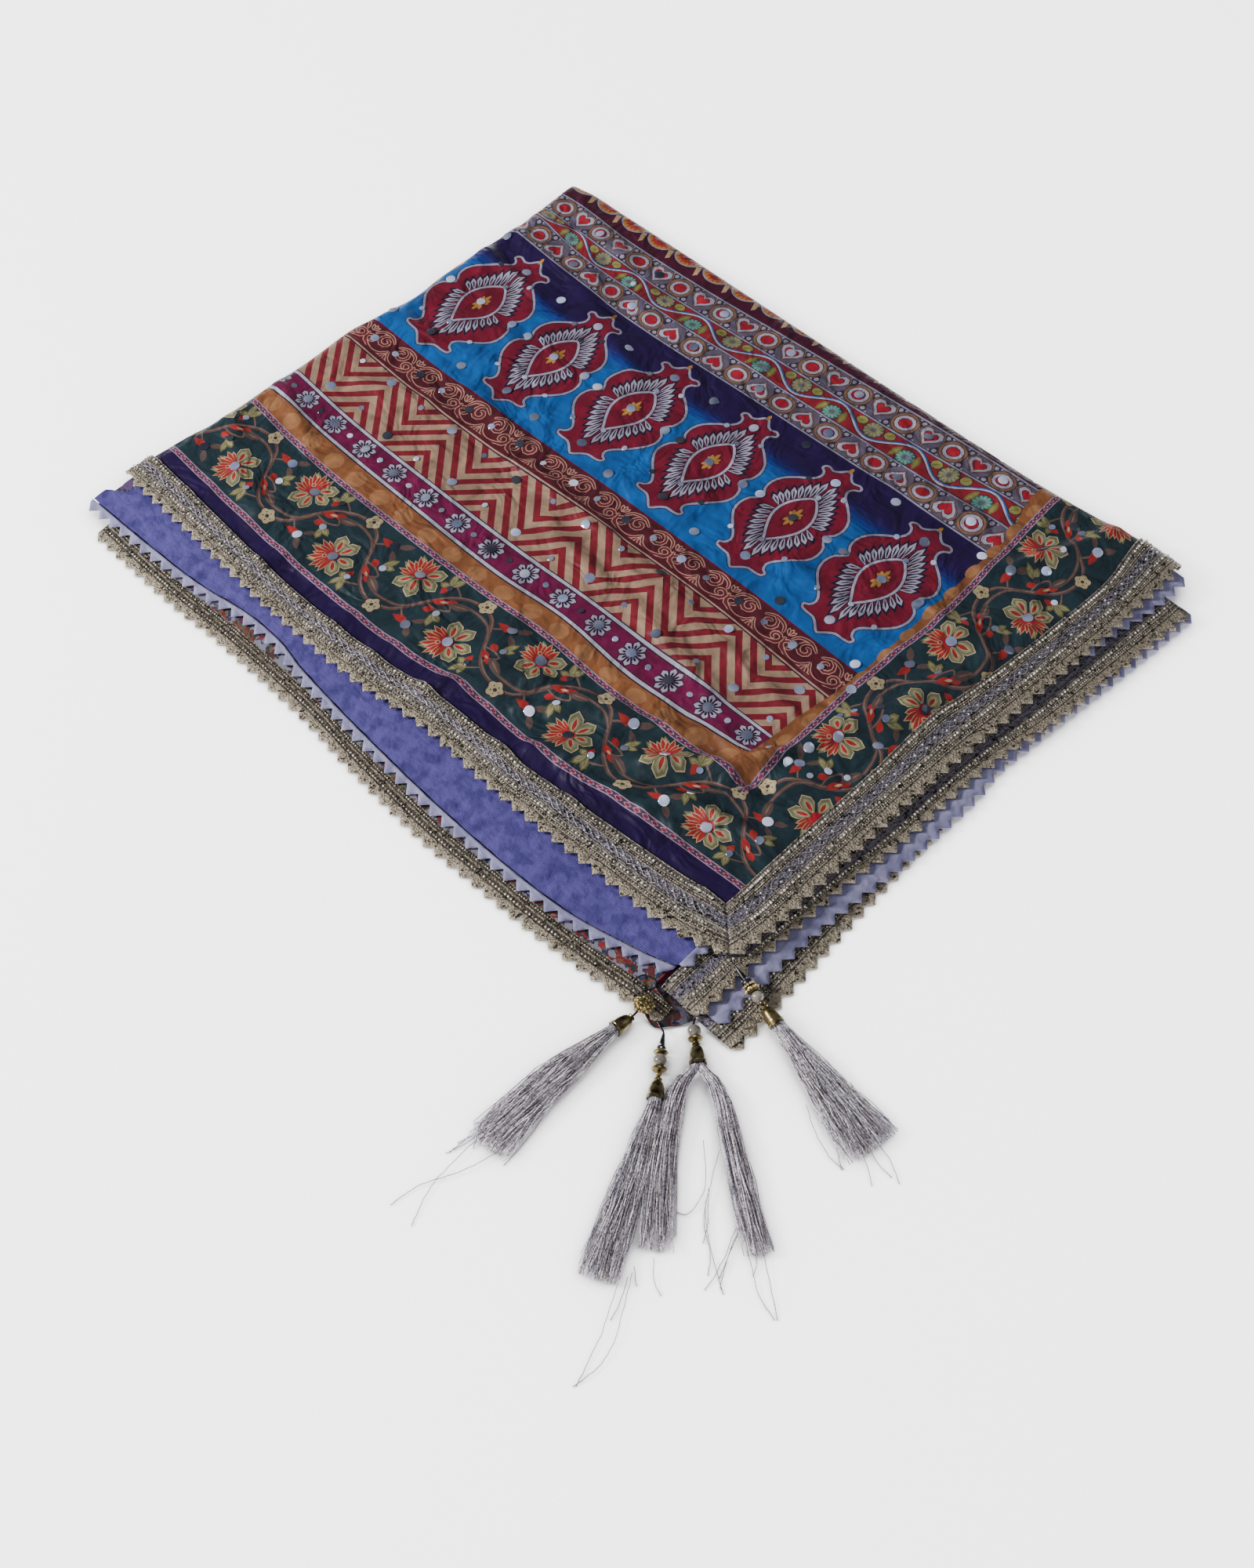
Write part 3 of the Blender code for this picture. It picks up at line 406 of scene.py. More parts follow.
def bumps(tree, shader, layers):
    """Chain of bump nodes: (node, output, strength, distance in metres)."""
    last = None
    for source, out, strength, distance in layers:
        node = tree.nodes.new("ShaderNodeBump")
        node.inputs["Strength"].default_value = strength
        node.inputs["Distance"].default_value = distance
        link(tree, source, out, node, "Height")
        if last:
            link(tree, last, "Normal", node, "Normal")
        last = node
    link(tree, last, "Normal", shader, "Normal")


def tint_node(tree):
    node = tree.nodes.new("ShaderNodeVertexColor")
    node.layer_name = "tint"
    return node


def tinted(tree, tones):
    """The piece's own tint times a texture's colour."""
    return blend(tree, "MULTIPLY", 1.0, (tint_node(tree), "Color"), (tones, "Color"))


def print_material():
    """Satin with a self-coloured round figure, coloured by its print."""
    material, tree, shader = start_material("printed_satin", 0.46)
    place = tree.nodes.new("ShaderNodeTexCoord")
    spots = texture(tree, "ShaderNodeTexVoronoi", 44.0, place=place, feature="F1")
    spots.inputs["Randomness"].default_value = 0.42
    rounds = ramp(tree, spots, "Distance", [(0.30, (1, 1, 1)), (0.36, (0, 0, 0))])
    cloud = noise(tree, place, 60.0, 3.0)
    patchy = ramp(tree, cloud, "Fac", [(0.38, (0.80, 0.80, 0.80)), (0.66, (1.16, 1.16, 1.16))])
    weave = ridges(tree, place, 420.0, "X")
    weft = ridges(tree, place, 380.0, "Y")
    crinkle = noise(tree, place, 130.0, 4.0)
    patched = tinted(tree, patchy)
    lighter = blend(tree, "SCREEN", 1.0, (patched, 2), (0.007, 0.005, 0.009))
    darker = blend(tree, "MULTIPLY", 1.0, (patched, 2), (0.64, 0.62, 0.66))
    figured = blend(tree, "MIX", 0.5, (lighter, 2), (darker, 2))
    link(tree, rounds, "Color", figured, 0)
    link(tree, figured, 2, shader, "Base Color")
    gloss = spread(tree, rounds, "Color", 0.46, 0.30)
    link(tree, gloss, "Result", shader, "Roughness")
    shader.inputs["Specular IOR Level"].default_value = 0.19
    swell = noise(tree, place, 34.0)
    swell.inputs["Distortion"].default_value = 1.4
    bumps(tree, shader, [(swell, "Fac", 0.6, 0.009), (crinkle, "Fac", 0.7, 0.0014),
                         (weave, "Fac", 0.18, 0.0002), (weft, "Fac", 0.14, 0.0002)])
    return material


def cloth_material(name, colour, dark, roughness, weave_scale, figure):
    """Plain weave with a soft figure in two tones."""
    material, tree, shader = start_material(name, roughness)
    place = tree.nodes.new("ShaderNodeTexCoord")
    cloud = noise(tree, place, figure, 3.0)
    tones = ramp(tree, cloud, "Fac", [(0.40, dark), (0.56, colour)])
    weave = ridges(tree, place, weave_scale, "X")
    weave.inputs["Distortion"].default_value = 1.2
    weft = ridges(tree, place, weave_scale * 0.8, "Y")
    threads = ramp(tree, weave, "Fac", [(0.0, (0.70, 0.70, 0.73)), (1.0, (1.16, 1.16, 1.14))])
    woven = blend(tree, "MULTIPLY", 1.0, (tones, "Color"), (threads, "Color"))
    link(tree, woven, 2, shader, "Base Color")
    crinkle = noise(tree, place, 190.0, 4.0)
    shader.inputs["Specular IOR Level"].default_value = 0.15
    bumps(tree, shader, [(crinkle, "Fac", 0.9, 0.0016), (weave, "Fac", 0.3, 0.0003),
                         (weft, "Fac", 0.3, 0.0003)])
    return material


def lace_material(name, roughness, metallic, sparkle):
    """Metal thread: tinted by attribute, broken up into painted glints and painted shade specks in its
    colour.
    """
    material, tree, shader = start_material(name, roughness, metallic)
    place = tree.nodes.new("ShaderNodeTexCoord")
    grain = texture(tree, "ShaderNodeTexVoronoi", 660.0, place=place, feature="F1")
    # Bright cells lift the colour up to 2.6 times as painted glints; near-black cells are painted shade
    # between them.
    glint = ramp(tree, grain, "Color", [(0.38, (0.035, 0.033, 0.032)), (0.55, (0.26, 0.25, 0.24)),
                                        (0.72, (2.6, 2.55, 2.45))])
    mixed = tinted(tree, glint)
    greyed = blend(tree, "MULTIPLY", 1.0, (mixed, 2), (0.50, 0.50, 0.53))
    link(tree, greyed, 2, shader, "Base Color")
    twill = noise(tree, place, 800.0)
    bumps(tree, shader, [(grain, "Distance", sparkle, 0.0008), (twill, "Fac", sparkle, 0.0005)])
    return material


def metal_material(name, colour, dark, roughness):
    """Cast metal, darker in patches."""
    material, tree, shader = start_material(name, roughness, 1.0)
    place = tree.nodes.new("ShaderNodeTexCoord")
    cloud = noise(tree, place, 260.0, 4.0)
    tones = ramp(tree, cloud, "Fac", [(0.35, dark), (0.62, colour)])
    link(tree, tones, "Color", shader, "Base Color")
    rough = spread(tree, cloud, "Fac", roughness + 0.18, roughness - 0.04)
    link(tree, rough, "Result", shader, "Roughness")
    bumps(tree, shader, [(cloud, "Fac", 0.12, 0.0004)])
    return material


def thread_material():
    """Lustrous grey thread with twisted plies, tinted strand by strand."""
    material, tree, shader = start_material("tassel_thread", 0.42)
    place = tree.nodes.new("ShaderNodeTexCoord")
    plies = noise(tree, place, 900.0)
    tones = ramp(tree, plies, "Fac", [(0.38, (0.42, 0.39, 0.36)), (0.54, (1.2, 1.18, 1.22))])
    link(tree, tinted(tree, tones), 2, shader, "Base Color")
    bumps(tree, shader, [(plies, "Fac", 0.4, 0.0003)])
    return material


def mirror_material():
    """Small silvered glass discs: a pale blue base colour and a tone for each disc, both painted reflection.
    """
    material, tree, shader = start_material("mirror_glass", 0.12, 0.6)
    place = tree.nodes.new("ShaderNodeTexCoord")
    cloud = noise(tree, place, 90.0, 1.0)
    # Pale blue base colour under the metallic finish: painted reflection.
    tones = ramp(tree, cloud, "Fac", [(0.35, srgb("a4b0dc")), (0.65, srgb("dde4ff"))])
    link(tree, tinted(tree, tones), 2, shader, "Base Color")
    bumps(tree, shader, [(cloud, "Fac", 0.08, 0.0006)])
    return material


def pearl_material():
    material, tree, shader = start_material("pearl", 0.22)
    place = tree.nodes.new("ShaderNodeTexCoord")
    cloud = noise(tree, place, 180.0)
    tones = ramp(tree, cloud, "Fac", [(0.35, srgb("6f6860")), (0.65, srgb("a69c92"))])
    link(tree, tones, "Color", shader, "Base Color")
    shader.inputs["Coat Weight"].default_value = 0.6
    shader.inputs["Coat Roughness"].default_value = 0.08
    bumps(tree, shader, [(cloud, "Fac", 0.05, 0.0004)])
    return material


def scrap_material():
    """Print seen in slivers between hems: patches of its colours."""
    material, tree, shader = start_material("printed_slivers", 0.5)
    place = tree.nodes.new("ShaderNodeTexCoord")
    warp = noise(tree, place, 120.0)
    cells = texture(tree, "ShaderNodeTexVoronoi", 150.0, feature="F1")
    moved = tree.nodes.new("ShaderNodeVectorMath")
    moved.operation = "MULTIPLY_ADD"
    moved.inputs[1].default_value = (0.012, 0.012, 0.012)
    link(tree, warp, "Color", moved, 0)
    link(tree, place, "Object", moved, 2)
    link(tree, moved, 0, cells, "Vector")
    parts = tree.nodes.new("ShaderNodeSeparateColor")
    link(tree, cells, "Color", parts, "Color")
    palette = [(0.0, srgb("16292b")), (0.3, srgb("1b3335")), (0.42, srgb("5a1820")), (0.55, srgb("8c2028")),
               (0.63, srgb("54563a")), (0.76, srgb("1d2f52")), (0.86, srgb("2a1240")), (0.94, srgb("7d7a8e"))]
    tones = ramp(tree, parts, "Red", palette)
    tones.color_ramp.interpolation = "CONSTANT"
    link(tree, tinted(tree, tones), 2, shader, "Base Color")
    crinkle = noise(tree, place, 200.0, 4.0)
    bumps(tree, shader, [(crinkle, "Fac", 0.4, 0.001)])
    return material


satin = print_material()
lavender = cloth_material("lavender_reverse", srgb("5e559c"), srgb("4b4484"), 0.7, 330.0, 110.0)
pale = cloth_material("pale_edging", srgb("9c9abf"), srgb("8583a8"), 0.7, 400.0, 90.0)
lace_cloth = lace_material("metal_lace", 0.45, 0.6, 1.0)
bead_metal = lace_material("lace_beads", 0.28, 0.6, 0.1)
brass = metal_material("antique_brass", srgb("857a56"), srgb("332c1e"), 0.26)
gold = metal_material("gold_findings", srgb("9c8c60"), srgb("42381f"), 0.24)
dark_metal = metal_material("gunmetal", srgb("56555a"), srgb("1d1c20"), 0.3)
threads = thread_material()
mirror_glass = mirror_material()
pearl = pearl_material()
slivers = scrap_material()

# Print

COLOURS = {"green": "1a353a", "purple": "1c0540", "maroon": "4c1028", "vine_red": "96222c", "net": "675d72",
           "net_light": "a49cb2", "net_dark": "332d3c", "tan": "8a684e", "tan_dark": "4a3230",
           "lilac": "b6aec4", "lilac_grey": "9f98b2", "ink": "1e1430", "red": "b3202e", "crimson": "7d122c",
           "crimson_dark": "6d1026", "teal": "3f8479", "teal_light": "82a89a", "leaf": "96924c",
           "olive": "7d7540", "blue_line": "3a62a8", "white": "c4c0d2", "gold": "c08a3c", "cream": "bfb288",
           "khaki": "7a7c58", "khaki_light": "989674", "stem": "5d4a44", "stem_light": "846b5c",
           "flame": "b02e28", "chev_red": "84202a", "chev_cream": "b09178", "scroll_ground": "571a22",
           "scroll_red": "74262b", "scroll_cream": "c39c88", "magenta": "740e44", "orange": "935c34",
           "orange_light": "a8744a", "bead_ground": "54384c", "bead_pink": "b597b4", "bead_red": "962440",
           "fire": "c04c2a", "buff": "c9a67e"}
OGEE_GROUND = ["1e0644", "1c0c4c", "1a145a", "162672", "103888", "0b4b9c", "095aaa", "0a62b2"]

WARP_X = [-514, -450, -370, -290, -234, -170, -90, -30]
WARP = [(25.3, [0.7, -4.5, -8.5, -7.3, -0.5, -1.3, 8.7, 12.7]),
        (86.6, [4.6, -2.6, -3.8, -2.6, 0.6, -1.8, 2.5, 3.0]),
        (101.0, [3.0, -1.0, -3.4, -4.2, 0.2, -3.8, 4.4, 5.0]),
        (124.9, [3.9, -1.7, -2.9, -2.1, 0.1, 0.5, 1.0, 1.1]),
        (170.8, [2.0, -2.0, -2.0, 0.4, 2.4, 2.6, -1.3, -2.0]),
        (197.5, [0.5, -1.5, -0.7, 1.3, 1.6, 1.5, -1.1, -1.5]),
        (325.8, [3.0, -2.6, -4.2, -1.8, -0.4, 1.6, 2.3, 2.2]),
        (347.5, [4.5, -3.5, -6.3, -3.5, -1.2, 0.9, 4.3, 4.5]),
        (366.5, [-2.5, -7.7, -6.5, -2.5, -0.2, 2.7, 8.3, 8.3]),
        (387.0, [-3.9, -7.1, -5.9, -1.1, 1.8, 4.6, 5.8, 5.8])]
BAND_END = [(80, -84.8), (104, -84.8), (140, -82.8), (160, -81.2), (180, -78.8), (220, -78), (260, -80),
            (320, -82.8), (352, -84.8), (380, -94), (400, -95.2), (420, -95.5)]
BORDER_END = [(80, -71.2), (100, -71.2), (140, -74), (180, -76), (220, -75.2), (260, -74), (300, -76.8),
              (340, -80), (380, -84), (400, -85.2), (420, -85.6)]
BORDER_WIDE = 4.4
BORDER_PITCH = 6.5
LINE_GREEN = 25.3
LINE_BEADS = 82.2
LINE_ORANGE = 86.6
LINE_MAGENTA = 101.0
LINE_CHEVRON = 124.9
LINE_SCROLL = 170.8
LINE_BLUE = 197.5
LINE_HEARTS = 325.8
LINE_VINE = 347.5
LINE_HEARTS_TOP = 366.5
LINE_MAROON = 387.0
PRINT_LEFT = -546
PRINT_RIGHT = -58

DAISY_PITCH = 30.3
DOT_PITCH = 22.7
HEART_MIRRORS = 58.6
PRINT_DEPTH = 0.78
MIRROR_GROWTH = 1.12

shapes = []
mirrors = []


def warp(u, v):
    """Place on the cloth of a point of the straight print."""
    rows = [curve(list(zip(WARP_X, row)), u) for _, row in WARP]
    keys = np.array([row[0] for row in WARP])
    v = np.asarray(v, float)
    index = np.clip(np.searchsorted(keys, v) - 1, 0, len(keys) - 2)
    t = np.clip((v - keys[index]) / (keys[index + 1] - keys[index]), 0, 1)
    rows = np.array(rows)
    many = np.arange(len(v))
    return np.stack([u, v + mix(rows[index, many], rows[index + 1, many], t)], axis=-1)


def paint(colour, points, straight=True):
    """Adds a filled shape over those before it."""
    points = np.asarray(points, float)
    if straight:
        points = warp(points[:, 0], points[:, 1])
    after = np.roll(points, -1, axis=0)
    if np.sum(points[:, 0] * after[:, 1] - after[:, 0] * points[:, 1]) < 0:
        points = points[::-1]
    shapes.append((colour, points))


def set_mirror(u, v, size, straight=True):
    at = warp(np.array([u]), np.array([v]))[0] if straight else (u, v)
    mirrors.append((at[0], at[1], size * MIRROR_GROWTH))


def turned(points, at=(0, 0), angle=0.0, size=1.0, flip=False):
    """Shape turned by degrees, then moved."""
    points = np.asarray(points, float) * size
    if flip:
        points = points * (1, -1)
    c, s = math.cos(math.radians(angle)), math.sin(math.radians(angle))
    return points @ np.array([[c, s], [-s, c]]) + at


def oval(wide, high, sides=14):
    t = np.linspace(0, 2 * math.pi, sides, endpoint=False)
    return np.stack([wide * np.cos(t), high * np.sin(t)], axis=-1)


def petal(start, end, wide, full=0.55, steps=4):
    """Pointed petal from start to end along X; full is its widest place."""
    t = np.linspace(0, 1, steps + 1)
    power = math.log(0.5) / math.log(full)
    half = wide / 2 * np.sin(math.pi * t ** power) ** 0.8
    x = mix(start, end, t)
    upper = np.stack([x, half], axis=-1)
    lower = np.stack([x[1:-1], -half[1:-1]], axis=-1)[::-1]
    return np.concatenate([upper, lower])


def rosette(radius, depth, lobes, each=5):
    t = np.linspace(0, 2 * math.pi, lobes * each, endpoint=False)
    r = radius * (1 - depth * np.abs(np.cos(lobes * t / 2)) ** 3)
    return np.stack([r * np.cos(t), r * np.sin(t)], axis=-1)


def heart(size, sides=16):
    t = np.linspace(0, 2 * math.pi, sides, endpoint=False)
    x = 16 * np.sin(t) ** 3
    y = 13 * np.cos(t) - 5 * np.cos(2 * t) - 2 * np.cos(3 * t) - np.cos(4 * t)
    return np.stack([x, y + 2.5], axis=-1) * size / 16


def smoothed(points, each=3, closed=True):
    """Points on a smooth curve through a few."""
    points = np.asarray(points, float)
    count = len(points)
    result = []
    for i in range(count if closed else count - 1):
        if closed:
            a, b, c, d = (points[(i + k) % count] for k in (-1, 0, 1, 2))
        else:
            a, b, c, d = (points[min(max(i + k, 0), count - 1)] for k in (-1, 0, 1, 2))
        for k in range(each):
            t = k / each
            result.append(0.5 * (2 * b + (c - a) * t + (2 * a - 5 * b + 4 * c - d) * t ** 2
                                 + (3 * b - a - 3 * c + d) * t ** 3))
    if not closed:
        result.append(points[-1])
    return np.array(result)


def grown(points, by):
    """Closed outline moved out by a distance, in if it is negative."""
    points = np.asarray(points, float)
    after = np.roll(points, -1, axis=0)
    if np.sum(points[:, 0] * after[:, 1] - after[:, 0] * points[:, 1]) < 0:
        points = points[::-1]
    along = unit(np.roll(points, -1, axis=0) - np.roll(points, 1, axis=0))
    return points + np.stack([along[:, 1], -along[:, 0]], axis=-1) * by


def ribbon(points, wide, taper=0.0):
    """Strip along a line; taper is how much narrower its ends are."""
    points = np.asarray(points, float)
    along = unit(np.gradient(points, axis=0))
    side = np.stack([-along[:, 1], along[:, 0]], axis=-1)
    t = np.linspace(-1, 1, len(points))
    half = (wide / 2 * (1 - taper * t ** 4))[:, None]
    return np.concatenate([points + side * half, (points - side * half)[::-1]])


def band(colour, low, high, left=PRINT_LEFT, right=PRINT_RIGHT, step=9.0):
    """Straight band of one colour between two lines of the print."""
    u = np.linspace(left, right, int((right - left) / step) + 2)
    paint(colour, np.concatenate([np.stack([u, np.full(len(u), low)], axis=-1),
                                  np.stack([u, np.full(len(u), high)], axis=-1)[::-1]]))


def paint_chevrons():
    """Zigzag stripes of red on cream."""
    period = 61.4
    stripe = 13.5
    rise = 33.0
    band("chev_cream", LINE_CHEVRON - 30, LINE_SCROLL + 30)
    first = -488 - period
    for k in range(-4, 5):
        base = LINE_CHEVRON + 6 + k * stripe
        for n in range(16):
            u0 = first + n * period / 2
            u1 = u0 + period / 2
            low, high = (base, base + rise) if n % 2 == 0 else (base + rise, base)
            if max(low, high) + 7 < LINE_CHEVRON or min(low, high) > LINE_SCROLL:
                continue
            u = np.linspace(u0, u1, 5)
            v = np.linspace(low, high, 5)
            lower = np.stack([u, v], axis=-1)
            paint("chev_red", np.concatenate([lower, (lower + (0, 6.4))[::-1]]))
    for n in range(16):
        u = -489.5 + n * DAISY_PITCH
        set_mirror(u, 164.5 + 1.2 * math.sin(n * 2.3), 6.0 if n % 2 else 3.6)
        set_mirror(u + 2.5, 133 + 2.0 * math.sin(n * 1.7), 3.6 if n % 2 else 6.0)


def volute(cx, cy, radius, start, sweep, steps=11):
    """Line that curls in from a rim to near a centre."""
    t = np.linspace(0, 1, steps)
    angle = np.radians(start + sweep * t)
    r = radius * (1 - 0.72 * t)
    return np.stack([cx + r * np.cos(angle), cy + r * np.sin(angle)], axis=-1)


def paint_scrolls():
    """Running scrolls outlined in cream."""
    band("scroll_ground", LINE_SCROLL, LINE_BLUE)
    band("crimson_dark", LINE_BLUE - 1.2, LINE_BLUE)
    period = 47.5
    middle = (LINE_SCROLL + LINE_BLUE) / 2 + 0.5
    for n in range(12):
        base = -532 + n * period
        for side in (-1, 1):
            lines = [
                (volute(base + side * 8.6, middle + 3.0, 6.0, 90, -side * 400), 3.2),
                (volute(base + side * 18.5, middle - 2.6, 5.2, 270, side * 380), 3.0),
                (smoothed([(base, middle - 1.5), (base + side * 3.5, middle - 7.0),
                           (base + side * 9.0, middle - 9.4), (base + side * 15.0, middle - 8.6),
                           (base + side * 21.5, middle - 4.6), (base + side * 23.7, middle + 2.0)],
                          3, closed=False), 2.8),
                (smoothed([(base + side * 2.0, middle + 6.0), (base + side * 9.0, middle + 9.8),
                           (base + side * 17.0, middle + 8.0), (base + side * 20.0, middle + 2.8)],
                          3, closed=False), 2.6)]
            for line, wide in lines:
                paint("scroll_cream", ribbon(line, wide, 0.5))
            for line, wide in lines:
                paint("scroll_red", ribbon(line, wide - 1.3, 0.7))
        for at, first, outer, inner in (
                ((base, middle - 4.4), 240, petal(0, 7.4, 3.0), petal(1.0, 6.2, 1.7)),
                ((base + period / 2, middle + 3.6), 60, petal(0, 6.4, 2.8), petal(1.0, 5.4, 1.5))):
            for angle in (first, first + 30, first + 60):
                paint("scroll_cream", turned(outer, at, angle))
                paint("scroll_red", turned(inner, at, angle))
        for k, size in ((0.12, 4.2), (0.66, 5.6)):
            set_mirror(base + k * period, middle + 0.6, size)
    band("scroll_ground", LINE_SCROLL, LINE_SCROLL + 4.6)
    band("scroll_cream", LINE_SCROLL + 0.6, LINE_SCROLL + 1.8)
    band("ink", LINE_SCROLL - 0.4, LINE_SCROLL + 0.4)


def paint_magenta():
    """Band of small daisies between two pale lines."""
    band("magenta", LINE_MAGENTA, LINE_CHEVRON)
    for low in (LINE_MAGENTA, LINE_CHEVRON - 3.4):
        band("ink", low - 0.3, low + 3.3)
        band("white", low + 0.4, low + 2.6)
    middle = (LINE_MAGENTA + LINE_CHEVRON) / 2
    for n in range(16):
        at = (-518.3 + n * DAISY_PITCH, middle)
        for colour, form in (("ink", petal(0.6, 9.4, 5.4, 0.68)), ("lilac", petal(1.6, 8.7, 4.1, 0.70)),
                             ("ink", petal(2.6, 6.4, 1.5))):
            for k in range(8):
                paint(colour, turned(form, at, 22.5 + 45 * k))
        set_mirror(*at, 6.0)
        set_mirror(at[0] + 15.2, middle + 0.8 * math.sin(n), 3.6)


def paint_orange():
    band("orange", LINE_ORANGE, LINE_MAGENTA)
    for n in range(22):
        paint("orange_light", turned(oval(6.8, 6.2), (-524 + n * DOT_PITCH, LINE_ORANGE + 6.0)))
    band("ink", LINE_MAGENTA - 0.5, LINE_MAGENTA + 0.5)
    band("white", LINE_MAGENTA + 0.5, LINE_MAGENTA + 2.7)


OGEE = [(0, 58), (5, 52.5), (8, 50.5), (12, 51.8), (15.2, 50), (15.4, 46.6), (12.6, 44.6), (11.4, 41),
        (13.5, 36), (20, 30.5), (27, 23), (30, 14.5), (29, 6.5), (25.5, 0.5), (30.5, -5.5), (32.2, -14),
        (30, -22.5), (24.5, -30), (17.5, -37.5), (15.2, -42), (16.6, -45.8), (19.4, -47.4), (18.4, -51.4),
        (13.4, -52.6), (8.6, -52.8), (4.6, -56)]
ALMOND = [(0, 22), (5.5, 17), (10, 9.5), (12, 1), (11, -8), (7, -17), (2.5, -24.5)]


def both_sides(half, foot):
    """Closed outline from its right half and its lowest point."""
    return np.concatenate([half, [foot], (half[1:] * (-1, 1))[::-1]])


def paint_ogee(at, wide):
    """Large ogee medallion with a ring of feathered petals."""
    outline = smoothed(both_sides(np.array(OGEE) * (wide, 1), (0, -60)), 2) + at
    paint("ink", grown(outline, 0.55))
    paint("lilac_grey", outline)
    paint("ink", grown(outline, -1.75))
    paint("crimson", grown(outline, -2.3))
    rays = []
    for side in (1, -1):
        for k in range(8):
            t = k / 7
            x = side * wide * mix(12.6, 1.6, t ** 1.1)
            y = mix(1.8, 21.5, t)
            rays.append((x, y, 90 - side * mix(60, 6, t), mix(10.5, 17.5, t)))
            y = mix(-1.8, -25.5, t)
            rays.append((x, y, 270 + side * mix(62, 6, t), mix(10.5, 17.5, t)))
    for colour, start, share, more, thick, full in (("ink", -2.0, 1, 3.0, 5.2, 0.62),
                                                    ("lilac", -1.6, 1, 0, 3.9, 0.72),
                                                    ("ink", 1.6, 0.8, 0, 1.1, 0.6)):
        for x, y, angle, length in rays:
            form = petal(start, length * share + more, thick, full)
            paint(colour, turned(form, (at[0] + x, at[1] + y), angle))
    almond = smoothed(both_sides(np.array(ALMOND) * (wide, 1), (0, -28)), 2) + at
    paint("ink", grown(almond, 1.2))
    paint("lilac", grown(almond, 0.7))
    paint("ink", grown(almond, -1.1))
    paint("crimson", grown(almond, -1.5))
    for angle, length in ((90, 11), (60, 8), (120, 8), (32, 6), (148, 6), (270, 11), (300, 8), (240, 8)):
        paint("crimson_dark", turned(petal(0.5, length + 1.4, 4.0), at, angle))
    for angle, length in ((90, 10), (60, 7), (120, 7), (32, 5.5), (148, 5.5), (270, 9.5), (300, 7), (240, 7)):
        paint("gold", turned(petal(1.0, length, 2.6), at, angle))
    paint("gold", turned(petal(-1.0, 5.0, 2.8), (at[0], at[1] + 55.5), 90))
    for dx, dy, size in ((0, 0, 5.6), (0, 42.5, 6.0), (0, -46.5, 6.0), (-27.5, 0, 6.0), (27.5, 0, 6.0),
                         (-14, 33, 3.4), (13, 33, 3.4), (1, 23.5, 3.4), (0.6, -29, 3.4), (-20.5, -34, 3.4),
                         (21, -32, 3.4)):
        set_mirror(at[0] + dx * wide, at[1] + dy, size)


def paint_ogees():
    steps = len(OGEE_GROUND)
    band("ground0", 300, LINE_HEARTS)
    for k in range(1, steps):
        high = 303 - 3.0 * k
        low = high - 3.0 if k < steps - 1 else LINE_BLUE
        band("ground%d" % k, low, high)
    for u, wide in ((-547, 1.06), (-477, 1.16), (-402, 1.0), (-331, 1.07), (-261, 1.02), (-191, 1.04),
                    (-118, 1.1)):
        paint_ogee((u, 262), wide)
    for u, v in ((-440, 305), (-372, 305), (-297, 306), (-227, 318), (-153, 319), (-514, 318), (-440, 210),
                 (-370, 211), (-299, 205), (-226, 209), (-151, 204), (-512, 212), (-88, 264), (-86, 320),
                 (-84, 202)):
        set_mirror(u, v, 6.0)


RINGS = [("tan_dark", 9.9, 9.6, 14), ("tan", 9.3, 9.0, 14), ("tan_dark", 7.7, 7.4, 12),
         ("lilac", 7.1, 6.7, 12), ("ink", 4.9, 4.5, 10), ("red", 4.4, 4.0, 10)]
HEARTS = [("net_dark", 10.2), ("tan", 9.6), ("ink", 8.7), ("lilac", 8.2), ("ink", 5.5), ("red", 4.9)]


def paint_hearts(low, high, start, flip):
    """Row of rings and hearts over a fine net."""
    band("net", low, high)
    middle = (low + high) / 2
    half = (high - low) / 2
    pitch = 19.6
    for n in range(26):
        u = start + n * pitch
        joint = u + pitch / 2
        for side in (-1, 1):
            edge = middle + side * half
            paint("net_dark", [(joint - 4.6, edge), (joint + 4.6, edge), (joint, middle + side * 2.5)])
            paint("net_light", turned(oval(1.7, 1.7, 8), (joint, middle + side * (half - 3.2))))
            for k in (-1, 1):
                paint("net_light", turned(oval(0.9, 0.9, 6), (joint + 3.4 * k, middle + side * (half - 1.6))))
        if n % 2 == 0:
            for colour, wide, tall, sides in RINGS:
                paint(colour, turned(oval(wide, tall, sides), (u, middle)))
        else:
            for colour, size in HEARTS:
                paint(colour, turned(heart(size), (u, middle), flip=flip))
    for line in (low, high):
        band("net_dark", line - 1.1, line + 1.1)
        band("lilac_grey", line - 0.7, line + 0.5)


